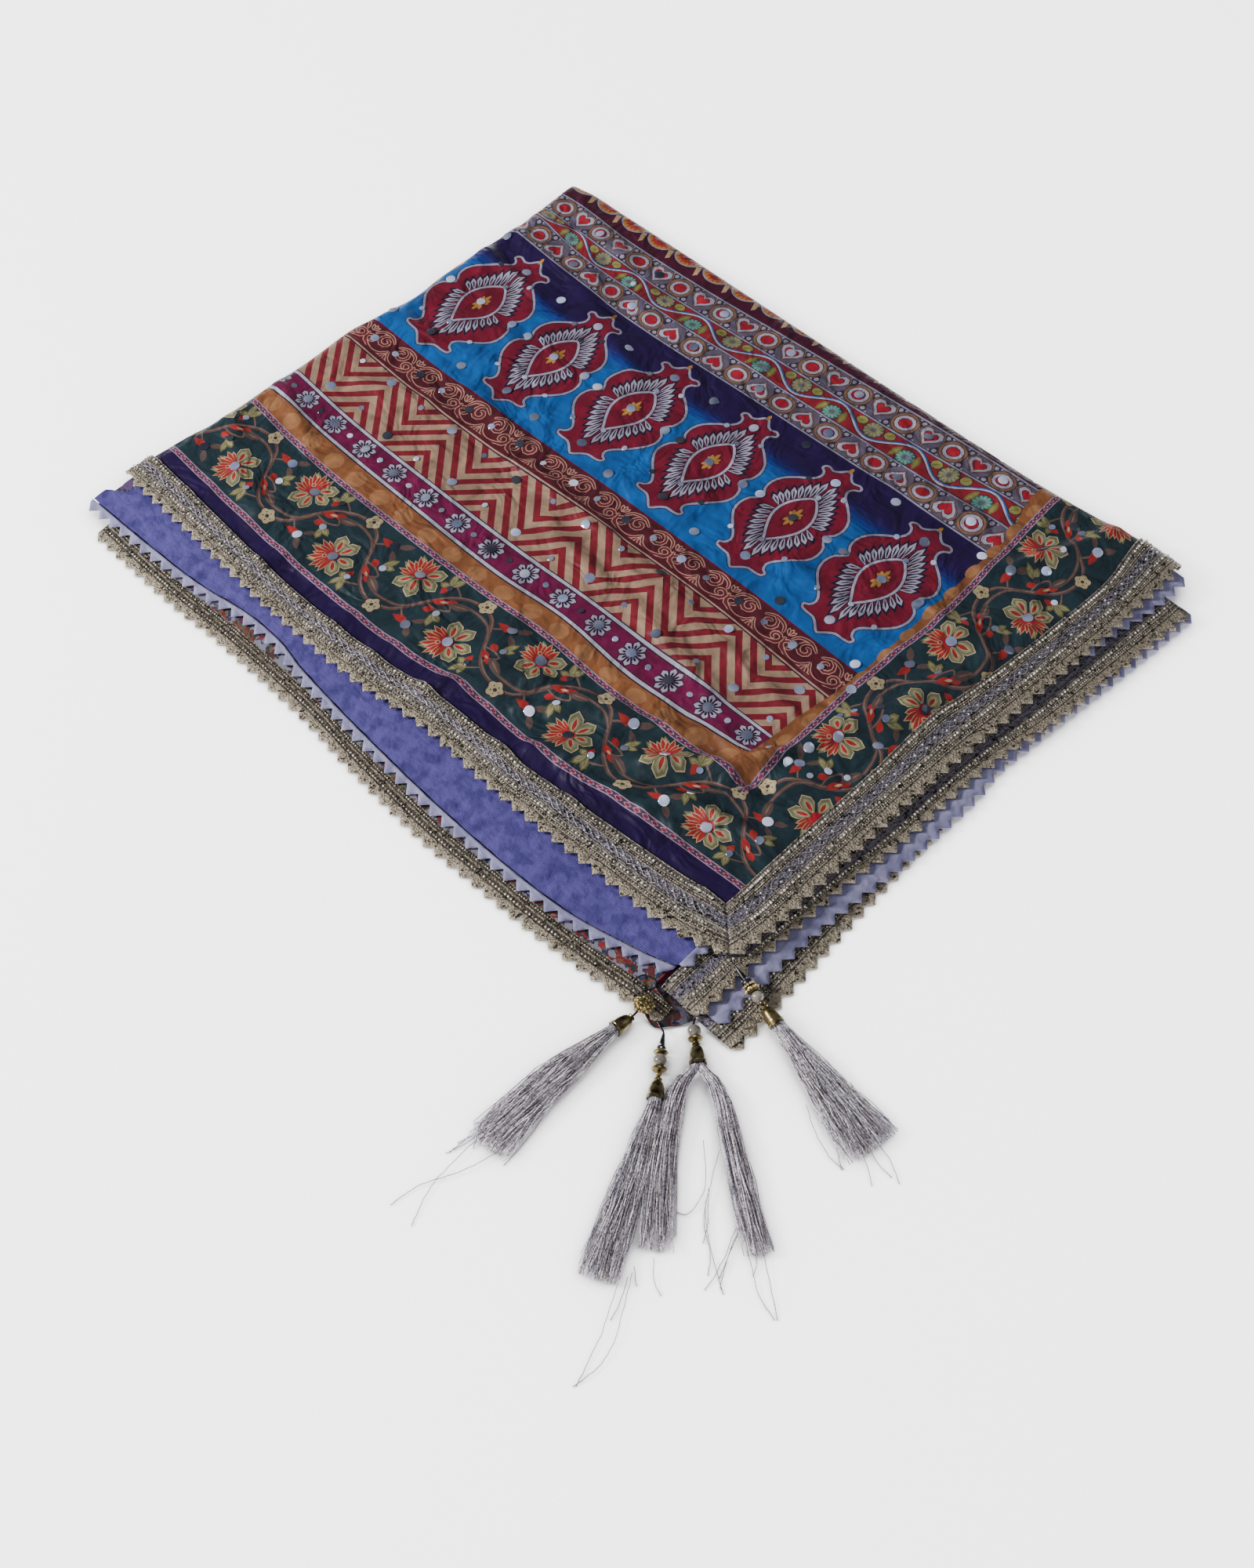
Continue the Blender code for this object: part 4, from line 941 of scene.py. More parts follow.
def paint_small_vine():
    """Narrow red band with a waving line and daisies."""
    band("vine_red", LINE_VINE, LINE_HEARTS_TOP)
    middle = (LINE_VINE + LINE_HEARTS_TOP) / 2
    period = 61.0
    for n in range(10):
        crest = -541 + n * period
        low = crest + period / 2
        for at, light, dark, big in (((crest, middle - 3.2), "teal_light", "teal", 6.6),
                                     ((low, middle + 2.2), "khaki_light", "khaki", 7.0)):
            paint("ink", turned(rosette(big + 0.7, 0.14, 12, 3), at))
            paint(dark, turned(rosette(big, 0.14, 12, 3), at))
            for k in range(12):
                paint(light, turned(petal(2.0, big - 0.5, 1.7, steps=3), at, 30 * k + 15))
            paint("net", turned(oval(1.8, 1.8, 8), at))
        for side in (-1, 1):
            at = (crest + side * 10.0, middle - 9.0)
            paint("olive", turned(petal(0, 12.5, 5.2), at, 90 + side * 14))
            paint("leaf", turned(petal(1.6, 10.5, 2.6), at, 90 + side * 14))
            at = (low + side * 11.5, middle + 4.6)
            paint("ink", turned(oval(4.5, 4.0, 10), at))
            paint("leaf", turned(oval(4.0, 3.5, 10), at))
            paint("olive", turned(petal(-2.6, 2.6, 1.4), at, 40))
        if n % 2 == 0:
            set_mirror(crest + 3, middle - 3.0, 3.6)
    u = np.linspace(-546, -64, 150)
    v = middle + 0.4 + 7.0 * np.cos(2 * math.pi * (u + 541) / period)
    paint("ink", ribbon(np.stack([u, v], axis=-1), 3.2))
    paint("white", ribbon(np.stack([u, v - 0.2], axis=-1), 1.7))
    paint("blue_line", ribbon(np.stack([u, v + 0.9], axis=-1), 1.0))


def paint_medallions():
    """Maroon band with fan medallions that run over the back fold."""
    band("maroon", LINE_MAROON, 430)
    pitch = 26.5
    for n in range(20):
        joint = -553.8 + n * pitch
        at = (joint + pitch / 2, 408)
        paint("buff", turned([(-1.9, 3.6), (1.6, 4.6), (2.2, -3.4), (-0.4, -5.6)], (joint, 397.5), 16))
        for colour, radius in (("ink", 13.5), ("lilac_grey", 12.9), ("gold", 11.9)):
            paint(colour, turned(oval(radius, radius, 26), at))
        for k in range(20):
            paint("fire", turned([(8.6, -1.5), (11.6, 0), (8.6, 1.5)], at, 18 * k + 9))
        paint("flame", turned(oval(9.0, 9.0, 22), at))
        for k in range(14):
            paint("crimson_dark", turned(petal(2.6, 7.6, 1.5, steps=3), at, 360 / 14 * k))


def paint_border(line, wide=BORDER_WIDE):
    """Narrow border of small ovals along a line of layout points."""
    line = np.asarray(line, float)
    paint("bead_ground", ribbon(line, wide), straight=False)
    along = unit(np.gradient(line, axis=0))
    side = np.stack([-along[:, 1], along[:, 0]], axis=-1)
    for k in (-1, 1):
        paint("bead_pink", ribbon(line + side * k * (wide / 2 - 0.35), 0.6), straight=False)
    steps = np.linalg.norm(np.diff(line, axis=0), axis=1)
    reach = np.concatenate([[0], np.cumsum(steps)])
    for s in np.arange(BORDER_PITCH / 2, reach[-1], BORDER_PITCH):
        at = np.array([np.interp(s, reach, line[:, 0]), np.interp(s, reach, line[:, 1])])
        direction = np.array([np.interp(s, reach, along[:, 0]), np.interp(s, reach, along[:, 1])])
        angle = math.degrees(math.atan2(direction[1], direction[0]))
        paint("bead_pink", turned([(-2.9, 0), (0, -1.55), (2.9, 0), (0, 1.55)], at, angle), straight=False)
        paint("bead_red", turned(oval(1.8, 1.0, 6), at, angle), straight=False)


# Half a repeat of the floral border, from one large flower; the next half
# is the same upside down. Petals: angle, length, width, kind
FLOWER = [(187, 15.0, 4.6, 1), (229, 15.5, 4.6, 1), (152, 12.0, 3.3, 2), (166, 14.5, 3.3, 2),
          (180, 12.5, 3.3, 2), (194, 15.5, 3.3, 2), (208, 13.0, 3.3, 2), (222, 15.5, 3.3, 2),
          (236, 13.0, 3.3, 2), (250, 15.0, 3.3, 2), (264, 12.5, 3.3, 2), (278, 13.5, 3.3, 2),
          (115, 17.0, 9.4, 0), (70, 17.0, 9.4, 0), (8, 15.5, 9.0, 0), (-44, 16.0, 9.4, 0)]
# Layers of each kind of petal: colour, start, what they add to length and
# width, widest place
PETALS = [[("ink", 1.5, 0.9, 1.0, 0.62), ("cream", 2.0, 0.3, 0.2, 0.62), ("khaki", 2.0, -0.5, -1.0, 0.62),
           ("khaki_light", 3.0, -2.6, -3.4, 0.62)],
          [("khaki", 3.0, 1.6, 0, 0.6), ("cream", 4.0, 0, -2.2, 0.6)],
          [("buff", 3.0, 1.0, 0.5, 0.45), ("flame", 1.0, 0, -0.3, 0.45)]]
HALF_REPEAT = 50.75
REPEAT_MIDDLE = 55.25


def floral_half(put, mirror, flip):
    """Paints half a repeat. put(colour, points) and mirror(u, v, size) place."""
    sign = -1 if flip else 1

    def shape(colour, points, at, angle):
        points = turned(points, (0, 0), angle)
        put(colour, np.stack([points[:, 0] + at[0], sign * points[:, 1] + at[1]], axis=-1))

    def spot(du, v):
        return (du, REPEAT_MIDDLE + sign * (v - REPEAT_MIDDLE))

    stem = smoothed([spot(*p) for p in ((-3.6, 76.0), (6, 71.5), (12.5, 62), (18, 53), (26, 42.5), (35, 36.5),
                                        (46, 34.5))], 3, closed=False)
    put("ink", ribbon(stem, 3.6, 0.3))
    put("stem", ribbon(stem, 3.0, 0.3))
    put("stem_light", ribbon(stem + (0, 0.5), 0.8))
    for knots, wide in (([(16, 57), (8, 66), (-4, 69.5), (-16, 68), (-22, 64)], 2.4),
                        ([(18, 54), (26, 54), (33, 50), (30, 47)], 1.8),
                        ([(30, 38), (22, 34), (17, 36)], 1.6), ([(10, 66), (15, 70), (20, 71.5)], 1.6)):
        line = smoothed([spot(*p) for p in knots], 3, closed=False)
        put("stem", ribbon(line, wide, 0.6))
        put("stem_light", ribbon(line, 0.6, 0.5))
    for colour, form, at, angle in (("stem", petal(0, 15, 6.0), (-8, 69), 200),
                                    ("stem_light", petal(2, 12, 1.2), (-8, 69), 200),
                                    ("stem", petal(0, 12, 4.6), (22, 73), 40),
                                    ("stem", petal(0, 11, 4.2), (22, 70), -38)):
        shape(colour, form, spot(*at), angle)
    for at, angle, big in ((spot(27.4, 57.7), 62, 11), (spot(27.4, 57.7), 18, 9), (spot(19.3, 37.0), -70, 11),
                           (spot(19.3, 37.0), -112, 11), (spot(19.3, 37.0), 170, 7)):
        shape("olive", petal(-1, big, 5.0), at, angle)
        shape("khaki_light", petal(0, big - 1.6, 3.0), at, angle)
        shape("olive", petal(1, big - 3, 0.7), at, angle)
    for colour, start, end, wide in (("ink", -9.0, 9.0, 5.6), ("flame", -8.4, 2.0, 4.8),
                                     ("flame", -1.0, 8.6, 5.0), ("cream", -3.0, 2.4, 1.7)):
        shape(colour, petal(start, end, wide), spot(26, 47), -32)
    shape("flame", petal(-7.0, 4.0, 5.4, 0.6), spot(17, 72.0), -6)
    shape("flame", petal(-3.0, 4.0, 5.0), spot(23, 56.5), 150)
    shape("flame", petal(-3.0, 4.0, 4.6), spot(18.5, 41), -90)
    mirror(*spot(21.5, 73.0), 6.0)
    mirror(*spot(28.5, 56.6), 4.4)
    mirror(*spot(20.5, 37.6), 3.8)
    at = spot(0, 43.0)
    for angle, length, wide, kind in FLOWER:
        for colour, start, longer, wider, full in PETALS[kind]:
            shape(colour, petal(start, length + longer, wide + wider, full), at, angle)
        if kind == 0:
            shape("cream", petal(3.6, length - 3.4, 3.6, 0.5), at, angle)
            shape("flame", petal(4.2, length - 4.4, 2.4, 0.5), at, angle)
    shape("red", oval(3.8, 3.8, 12), at, 0)
    shape("cream", oval(1.6, 1.6, 8), spot(-4.5, 39.5), 0)
    shape("red", oval(1.0, 1.0, 8), spot(-4.5, 39.5), 0)
    mirror(*at, 6.2)
    at = spot(-3.6, 77.0)
    for colour, by in (("ink", 0.9), ("tan", 0.4), ("cream", 0.0)):
        shape(colour, rosette(5.4 + by, 0.22, 5, 6), at, 90)
    for k in range(5):
        dot = (at[0] + 2.7 * math.cos(1.26 * k), at[1] + 2.7 * math.sin(1.26 * k))
        shape("tan_dark", oval(0.5, 0.5, 6), dot, 0)
    shape("tan_dark", oval(1.3, 1.3, 8), at, 0)


def paint_floral():
    """Green border with flowers along the end and up the side."""
    band("green", LINE_GREEN, LINE_BEADS, right=-8)
    y = np.linspace(30, 424, 50)
    inner = curve(BORDER_END, y) + BORDER_WIDE
    paint("green", np.concatenate([np.stack([inner, y], axis=-1), [(-2, 424), (-2, 30)]]), straight=False)
    for n in range(-1, 9):
        start = -472 + HALF_REPEAT * n

        def put(colour, points):
            paint(colour, points + (start, 0))

        def mirror(u, v, size):
            set_mirror(u + start, v, size)

        floral_half(put, mirror, n % 2 == 1)
    for n in range(0, 7):
        start = 100 + HALF_REPEAT * n

        def put(colour, points):
            along = points[:, 0] + start
            out = curve(BORDER_END, along) + BORDER_WIDE + (LINE_BEADS - points[:, 1])
            paint(colour, np.stack([out, along], axis=-1), straight=False)

        def mirror(u, v, size):
            x = float(curve(BORDER_END, u + start)) + BORDER_WIDE + LINE_BEADS - v
            set_mirror(x, u + start, size, straight=False)

        floral_half(put, mirror, n % 2 == 1)


def paint_print():
    """All of the print, from the ground up."""
    paint("green", [(-560, -40), (10, -40), (10, 440), (-560, 440)], straight=False)
    paint_chevrons()
    paint_scrolls()
    paint_magenta()
    paint_orange()
    paint_ogees()
    paint_small_vine()
    paint_medallions()
    paint_hearts(LINE_HEARTS, LINE_VINE, -538.6, True)
    paint_hearts(LINE_HEARTS_TOP, LINE_MAROON, -547.6, False)
    for n in range(9):
        set_mirror(-468.5 + (n - 1) * HEART_MIRRORS, (LINE_HEARTS_TOP + LINE_MAROON) / 2, 6.0)
        set_mirror(-459.5 + (n - 1) * HEART_MIRRORS, (LINE_HEARTS + LINE_VINE) / 2, 6.0)
    y = np.linspace(80, 424, 40)
    left = np.stack([curve(BAND_END, y), y], axis=-1)
    right = np.stack([curve(BORDER_END, y) + 1.0, y], axis=-1)
    paint("orange", np.concatenate([left, right[::-1]]), straight=False)
    for n in range(14):
        y_at = 104 + n * DOT_PITCH
        at = (curve([(80, -78), (220, -76.4), (424, -90)], y_at), y_at)
        paint("orange_light", turned(oval(3.4, 6.4), at), straight=False)
    band("orange", LINE_ORANGE - 2, LINE_ORANGE + 12, left=-88, right=-70)
    paint_floral()
    u = np.linspace(PRINT_LEFT, -71.2 + BORDER_WIDE / 2, 110)
    paint_border(warp(u, np.full(len(u), LINE_ORANGE - BORDER_WIDE / 2)))
    y = np.linspace(LINE_ORANGE - BORDER_WIDE, 424, 80)
    paint_border(np.stack([curve(BORDER_END, y) + BORDER_WIDE / 2, y], axis=-1))
    band("purple", -60, LINE_GREEN - BORDER_WIDE + 0.4, right=-2)
    u = np.linspace(PRINT_LEFT, -4, 110)
    paint_border(warp(u, np.full(len(u), LINE_GREEN - BORDER_WIDE / 2)))


def colour_of(key):
    if key.startswith("ground"):
        return np.array(srgb(OGEE_GROUND[int(key[6:])])) * PRINT_DEPTH
    return np.array(srgb(COLOURS[key])) * PRINT_DEPTH


def within(middles, outline):
    """Which places, sorted by x, lie inside an outline."""
    low = np.searchsorted(middles[:, 0], outline[:, 0].min())
    high = np.searchsorted(middles[:, 0], outline[:, 0].max())
    near = middles[low:high]
    chosen = low + np.nonzero((near[:, 1] > outline[:, 1].min()) & (near[:, 1] < outline[:, 1].max()))[0]
    x, y = middles[chosen].T
    winding = np.zeros(len(chosen), int)
    after = np.roll(outline, -1, axis=0)
    for (x0, y0), (x1, y1) in zip(outline, after):
        if y0 == y1:
            continue
        left = (x1 - x0) * (y - y0) - (x - x0) * (y1 - y0)
        winding += (y0 <= y) & (y1 > y) & (left > 0)
        winding -= (y0 > y) & (y1 <= y) & (left < 0)
    return chosen[winding != 0]


def build_panel():
    """Top layer: one sheet whose faces follow the print."""
    paint_print()
    points = []
    for i in range(-NOSE_STEPS, PANEL_COLUMNS + 1):
        for j in range(PANEL_ROWS + NOSE_STEPS + 1):
            y_guess = mix(0, 390, min(j / PANEL_ROWS, 1))
            start_x = float(curve(LEFT_FOLD, y_guess)) + NOSE_X
            x = start_x + i * NOSE_ARC * NOSE_X / NOSE_STEPS
            if i > 0:
                x = mix(start_x, PANEL_RIGHT, i / PANEL_COLUMNS)
            flat_x = max(x, start_x)
            start_y = float(curve(BACK_FOLD, flat_x)) - NOSE_Y
            front = float(curve(END_SEWN, flat_x)) - PANEL_TUCK
            y = mix(front, start_y, min(j / PANEL_ROWS, 1))
            if j > PANEL_ROWS:
                y = start_y + (j - PANEL_ROWS) * NOSE_ARC * NOSE_Y / NOSE_STEPS
            points.append((x, y))
    rows = PANEL_ROWS + NOSE_STEPS + 1
    columns = PANEL_COLUMNS + NOSE_STEPS + 1
    rim = ([c * rows for c in range(columns)] + [(columns - 1) * rows + r for r in range(1, rows)]
           + [c * rows + rows - 1 for c in range(columns - 2, -1, -1)] + [r for r in range(rows - 2, 0, -1)])
    faces = [rim]
    for _, outline in shapes:
        first = len(points)
        points.extend(map(tuple, outline))
        faces.append(list(range(first, len(points))))
    result = delaunay_2d_cdt([Vector(p) for p in points], [], faces, 0, 1e-4, True)
    places = np.array([tuple(p) for p in result[0]])
    triangles = np.array([tuple(f) for f in result[2]])
    middles = places[triangles].mean(axis=1)
    order = np.argsort(middles[:, 0])
    middles = middles[order]
    triangles = triangles[order]
    colours = np.zeros((len(triangles), 3))
    for key, outline in shapes:
        chosen = within(middles, outline)
        colours[chosen] = colour_of(key)
    border = np.array([points[i] for i in rim])
    inner = within(middles, border)
    kept = [tuple(f) for f in triangles[inner]]
    tints = colours[inner]
    used = np.unique(np.array([i for f in kept for i in f]))
    renumber = np.full(len(places), -1)
    renumber[used] = np.arange(len(used))
    kept = [tuple(int(renumber[i]) for i in f) for f in kept]
    flat = places[used]
    normals = normals_of(top_surface, flat[:, 0], flat[:, 1])
    panel = add_mesh("printed_panel", top_surface(flat[:, 0], flat[:, 1]), kept, satin, tints, normals,
                     "CORNER")
    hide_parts("top_panel")
    return panel


def build_mirrors():
    """Round mirrors sewn over the print, each a little tilted."""
    chance = random.Random(7)
    sides = 14
    t = np.linspace(0, 2 * math.pi, sides, endpoint=False)
    ring = np.stack([np.cos(t), np.sin(t), np.zeros(sides)], axis=-1)
    template = np.concatenate([ring + (0, 0, 0.05), ring + (0, 0, 0.42), ring * 0.9 + (0, 0, 0.56),
                               [(0, 0, 0.57)]])
    faces = ring_faces(3, sides)
    faces += [(2 * sides + k, 2 * sides + (k + 1) % sides, 3 * sides) for k in range(sides)]
    discs = ([], [], [])
    shade = random.Random(9)
    for x, y, size in mirrors:
        inside_x = curve(LEFT_FOLD, y) + 5 < x < curve(SIDE_SEWN, y) - 3.5
        inside_y = curve(END_SEWN, x) + 3.5 < y < curve(BACK_FOLD, x) - 4
        if not (inside_x and inside_y):
            continue
        x += chance.uniform(-0.9, 0.9)
        y += chance.uniform(-0.9, 0.9)
        normal = normals_of(top_surface, np.array([x]), np.array([y]))[0]
        normal = unit(normal + (chance.gauss(0, 0.09), chance.gauss(0, 0.09), 0))
        across = unit(np.cross(normal, (0, 1, 0)))
        up = np.cross(normal, across)
        body = template * (size / 2, size / 2, 1.0)
        placed = body[:, :1] * across + body[:, 1:2] * up + body[:, 2:] * normal
        # Each disc's tone, from 0.12 to 2.2, is painted reflection: some discs dark, some bright white.
        tone = shade.choice((0.12, 0.45, 0.6, 0.8, 1.0, 1.0, 1.5, 2.2))
        join(discs, placed + top_surface(x, y), faces, np.full(3, tone))
    piece = add_mesh("mirror_discs", discs[0], discs[1], mirror_glass, discs[2])
    piece.data.set_sharp_from_angle(angle=math.radians(24))
    return piece


# Lace

NET = (0.3, 0.535)
# Profile of the wide lace: share of its width, height, tint. Near-black tints lie low in the grooves beside
# the raised cords, as painted shade; the narrow lace's profile does the same.
BODY = "7a746a"
LACE_PROFILE = [(0.0, 0.0, "5c554a"), (0.02, 0.5, "a59d90"), (0.045, 0.1, "3c3731"), (0.07, 0.25, BODY),
                (0.17, 0.25, BODY), (0.185, 0.55, "aaa294"), (0.205, 0.1, "3a352f"), (0.23, 0.3, BODY),
                (0.262, 0.1, "3a352f"), (0.28, 0.5, "a59d90"), (0.3, 0.05, "6a6570"),
                (0.41, 0.05, "726d79"), (0.42, 0.25, "9a9498"), (0.43, 0.05, "726d79"),
                (0.535, 0.05, "6a6570"), (0.55, 0.5, "a59d90"), (0.57, 0.1, "3a352f"),
                (0.6, 0.55, "aaa294"), (0.62, 0.25, BODY), (0.7, 0.25, BODY), (0.72, 0.5, "a59d90"),
                (0.74, 0.1, "3a352f"), (0.79, 0.3, BODY), (0.81, 0.55, "aaa294"), (0.835, 0.1, "3c3731"),
                (0.87, 0.4, "8f8674"), (1.0, 0.35, "9c9280")]
NARROW_PROFILE = [(0.0, 0.0, "4e473d"), (0.06, 0.4, "857c6c"), (0.12, 0.05, "38332d"),
                  (0.2, 0.3, "6b6355"), (0.3, 0.05, "38332d"), (0.38, 0.4, "8f8675"),
                  (0.46, 0.1, "38332d"), (0.6, 0.3, "6e6657"), (0.7, 0.05, "38332d"),
                  (0.76, 0.45, "8f8675"), (0.82, 0.2, "8f8674"), (1.0, 0.3, "9c9280")]


def strip(name, surface, start, end, teeth, profile, wall, material, lead=(), tail=()):
    """Lace or tape with a toothed edge and ridges along it.

    surface(s, w) is the outer face, w from 0 at the inner edge to 1 at the
    foot of the teeth and 2 at their tips.
    """
    each = 3
    toothed = np.linspace(start, end, teeth * each + 1)
    stations = np.array([*lead, *toothed, *tail])
    shares = np.array([row[0] for row in profile])
    rises = np.array([row[1] for row in profile])
    tints = np.array([srgb(row[2]) for row in profile])
    count = len(profile)
    s, w = np.meshgrid(stations, shares, indexing="ij")
    base = surface(s.ravel(), w.ravel())
    normal = normals_of(surface, s.ravel(), w.ravel(), 0.02)
    points = base + normal * np.tile(rises, len(stations))[:, None]
    colours = np.tile(tints, (len(stations), 1))
    faces = grid_faces(len(stations), count)
    points = list(points)
    colours = list(colours)
    for i in range(teeth):
        first = (len(lead) + i * each) * count + count - 1
        mid = (toothed[i * each] + toothed[(i + 1) * each]) / 2
        half = (toothed[(i + 1) * each] - toothed[i * each]) / 2
        rows = []
        for k, share in enumerate((0.34, 0.67)):
            inner = []
            for side in (-1, 1):
                at = np.array([mid + side * half * (1 - share)])
                w_at = np.array([1 + share])
                inner.append(len(points))
                points.append(surface(at, w_at)[0] + (0, 0, rises[-1] * (1 - 0.3 * share)))
                colours.append(tints[-1])
            at = np.array([mid])
            rows.append((inner[0], len(points), inner[1]))
            points.append(surface(at, w_at)[0] + (0, 0, rises[-1] + 0.25))
            # The raised middle point of each tooth row is painted 15% lighter: painted highlight.
            colours.append(tints[-1] * 1.15)
        tip = len(points)
        points.append(surface(np.array([mid]), np.array([2.0]))[0])
        colours.append(tints[-1])
        foot = [first + k * count for k in range(each + 1)]
        a, b = rows
        faces += [(foot[0], a[0], a[1], foot[1]), (foot[1], a[1], foot[2]), (foot[2], a[1], a[2], foot[3])]
        faces += [(a[0], b[0], b[1], a[1]), (a[1], b[1], b[2], a[2]), (b[0], tip, b[1]), (b[1], tip, b[2])]
    item = add_mesh(name, points, faces, material, colours)
    solid = item.modifiers.new("wall", "SOLIDIFY")
    solid.thickness = wall * MM
    solid.offset = -1
    return item


def sphere_template(rings, sides):
    points = [(0, 0, 1)]
    for r in range(1, rings):
        z = math.cos(math.pi * r / rings)
        wide = math.sin(math.pi * r / rings)
        points += [(wide * math.cos(2 * math.pi * k / sides), wide * math.sin(2 * math.pi * k / sides), z)
                   for k in range(sides)]
    points.append((0, 0, -1))
    last = len(points) - 1
    faces = [(0, 1 + k, 1 + (k + 1) % sides) for k in range(sides)]
    faces += [(1 + a, 1 + d, 1 + c, 1 + b) for a, b, c, d in ring_faces(rings - 1, sides)]
    a = 1 + (rings - 2) * sides
    faces += [(a + (k + 1) % sides, a + k, last) for k in range(sides)]
    return np.array(points), faces


def beads(name, centres, sizes, tints, material, rings=3, sides=6):
    """Many small beads as one piece."""
    template, faces = sphere_template(rings, sides)
    piece = ([], [], [])
    for centre, size, tint in zip(centres, sizes, tints):
        join(piece, template * (size / 2) + centre, faces, tint)
    return add_mesh(name, piece[0], piece[1], material, piece[2])


def tube(line, radius, sides=3, wobble=0.0):
    """Points and faces of a thin tube along a line."""
    line = np.asarray(line, float)
    along = unit(np.gradient(line, axis=0))
    side = unit(np.cross(along, (0.02, 0.01, 1)))
    up = np.cross(side, along)
    points = []
    for k, centre in enumerate(line):
        points += around(centre, side[k], up[k], radius, sides, wobble * k)
    faces = ring_faces(len(line), sides)
    faces.append(tuple(reversed(range(sides))))
    end = (len(line) - 1) * sides
    faces.append(tuple(range(end, end + sides)))
    return points, faces


def lace_trim(name, surface, start, end, rows, net=None):
    """Bead rows on a lace, and beads over its net: rows of (share, pitch, size, tint)."""
    chance = random.Random(len(name))
    centres, sizes, tints = [], [], []
    for share, pitch, size, tint in rows:
        s = np.arange(start + pitch / 2, end, pitch)
        w = np.full(len(s), share)
        lift = normals_of(surface, s, w, 0.02) * (0.25 + size * 0.22)
        for place in surface(s, w) + lift:
            centres.append(place)
            sizes.append(size * chance.uniform(0.95, 1.15))
            # Bead tints are scaled at random from 0.35 to 1.9 times: painted glints and painted shade along
            # the rows.
            tints.append(np.array(srgb(tint)) * chance.choice((0.35, 0.8, 1.3, 1.9)))
    if net:
        low, high = net
        s = np.arange(start + 4, end - 4, 9.2)
        for k, at in enumerate(s):
            for share in ((low + high) / 2,) if k % 2 else (mix(low, high, 0.25), mix(low, high, 0.75)):
                place = surface(np.array([at]), np.array([share]))[0] + (0, 0, 0.4)
                centres.append(place)
                sizes.append(1.5)
                tints.append(np.array(srgb("e6e4ea")))
    return beads(name, centres, sizes, tints, bead_metal)


def net_threads(name, surface, start, end, low, high):
    """Crossing metal threads over the open middle of the lace."""
    piece = ([], [], [])
    chance = random.Random(3)
    for phase in (0.0, 1.0, 2.0):
        s = np.arange(start, end, 2.3)
        swing = np.abs(((s - start) / 9.2 + phase * 0.667) % 2 - 1)
        w = mix(low, high, 0.05 + 0.9 * swing)
        line = surface(s, w) + np.array((0, 0, 0.45))
        line = line + np.array([(chance.gauss(0, 0.22), chance.gauss(0, 0.22), 0.1) for _ in s])
        join(piece, *tube(line, 0.2), srgb("bdb8b4"))
    return add_mesh(name, piece[0], piece[1], bead_metal, piece[2])


def top_raised(x, y, lift):
    return top_surface(x, y) + normals_of(top_surface, x, y, 1.5) * lift


def end_surface(s, w):
    flat = np.maximum(s, float(curve(LEFT_FOLD, 0)) + NOSE_X)
    sewn = curve(END_SEWN, flat)
    foot = curve(END_FOOT, flat)
    inside = np.minimum(w, 1)
    slide = MITRE_END * ease((s + 60) / 57) * (1 - inside)
    y = mix(sewn, foot, inside) - TOOTH * np.maximum(w - 1, 0)
    return top_raised(s - slide, y, LACE_LIFT - 0.35)


def side_surface(s, w):
    sewn = curve(SIDE_SEWN, s)
    foot = curve(SIDE_FOOT, s)
    inside = np.minimum(w, 1)
    slide = MITRE_SIDE * ease((58 - s) / 57) * (1 - inside)
    x = mix(sewn, foot, inside) + TOOTH * np.maximum(w - 1, 0)
    return top_raised(x, s + slide, LACE_LIFT - 0.35)


def build_top_lace():
    """Wide lace on the two hems of the top layer."""
    pieces = []
    start = float(curve(LEFT_FOLD, 0)) + NOSE_X
    lead = [start - NOSE_ARC * NOSE_X * k / 6 for k in range(6, 0, -1)]
    end = float(curve(BACK_FOLD, 0)) - NOSE_Y
    tail = [end + NOSE_ARC * NOSE_Y * k / 6 for k in range(1, 7)]
    lace = strip("top_lace_along_end", end_surface, start, -2.6, 49, LACE_PROFILE, 0.8, lace_cloth,
                 lead=lead)
    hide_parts("top_lace_end")
    pieces.append(lace)
    lace = strip("top_lace_along_side", side_surface, 0.4, end, 37, LACE_PROFILE, 0.8, lace_cloth,
                 tail=tail)
    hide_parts("top_lace_side")
    pieces.append(lace)
    rows = [(0.12, 2.6, 1.7, "d8d2c8"), (0.235, 1.7, 1.0, "b0a68f"), (0.655, 2.6, 1.6, "d8d2c8"),
            (0.765, 1.7, 1.0, "b0a68f")]
    pieces.append(lace_trim("end_lace_beads", end_surface, lead[0] + 2, -14, rows, NET))
    pieces.append(lace_trim("side_lace_beads", side_surface, 12, tail[-1] - 2, rows, NET))
    pieces.append(net_threads("end_lace_threads", end_surface, lead[0] + 2, -16, *NET))
    pieces.append(net_threads("side_lace_threads", side_surface, 16, tail[-1] - 2, *NET))
    return pieces


def reverse_rise(x):
    return REVERSE_LIFT * np.maximum(curve(REVERSE_FOOT, x) + 37, 0)


def reverse_surface(x, f):
    foot = curve(REVERSE_FOOT, x)
    z = curve(REVERSE_Z, f) + reverse_rise(x) * f
    pucker = 0.55 * np.exp(-((f - 0.9) / 0.1) ** 2) * np.sin(x / 1.9 + 2.0 * np.sin(x / 13))
    wave = 0.5 * np.sin(x / 11.0 + 1.5 * np.sin(x / 31)) * np.sin(f * 3.1) + 0.3 * np.sin(x / 4.3 + f * 5)
    return np.stack([x, mix(REVERSE_INNER, foot, f), z + (pucker + wave) * ease((f - 0.35) / 0.2)], axis=-1)


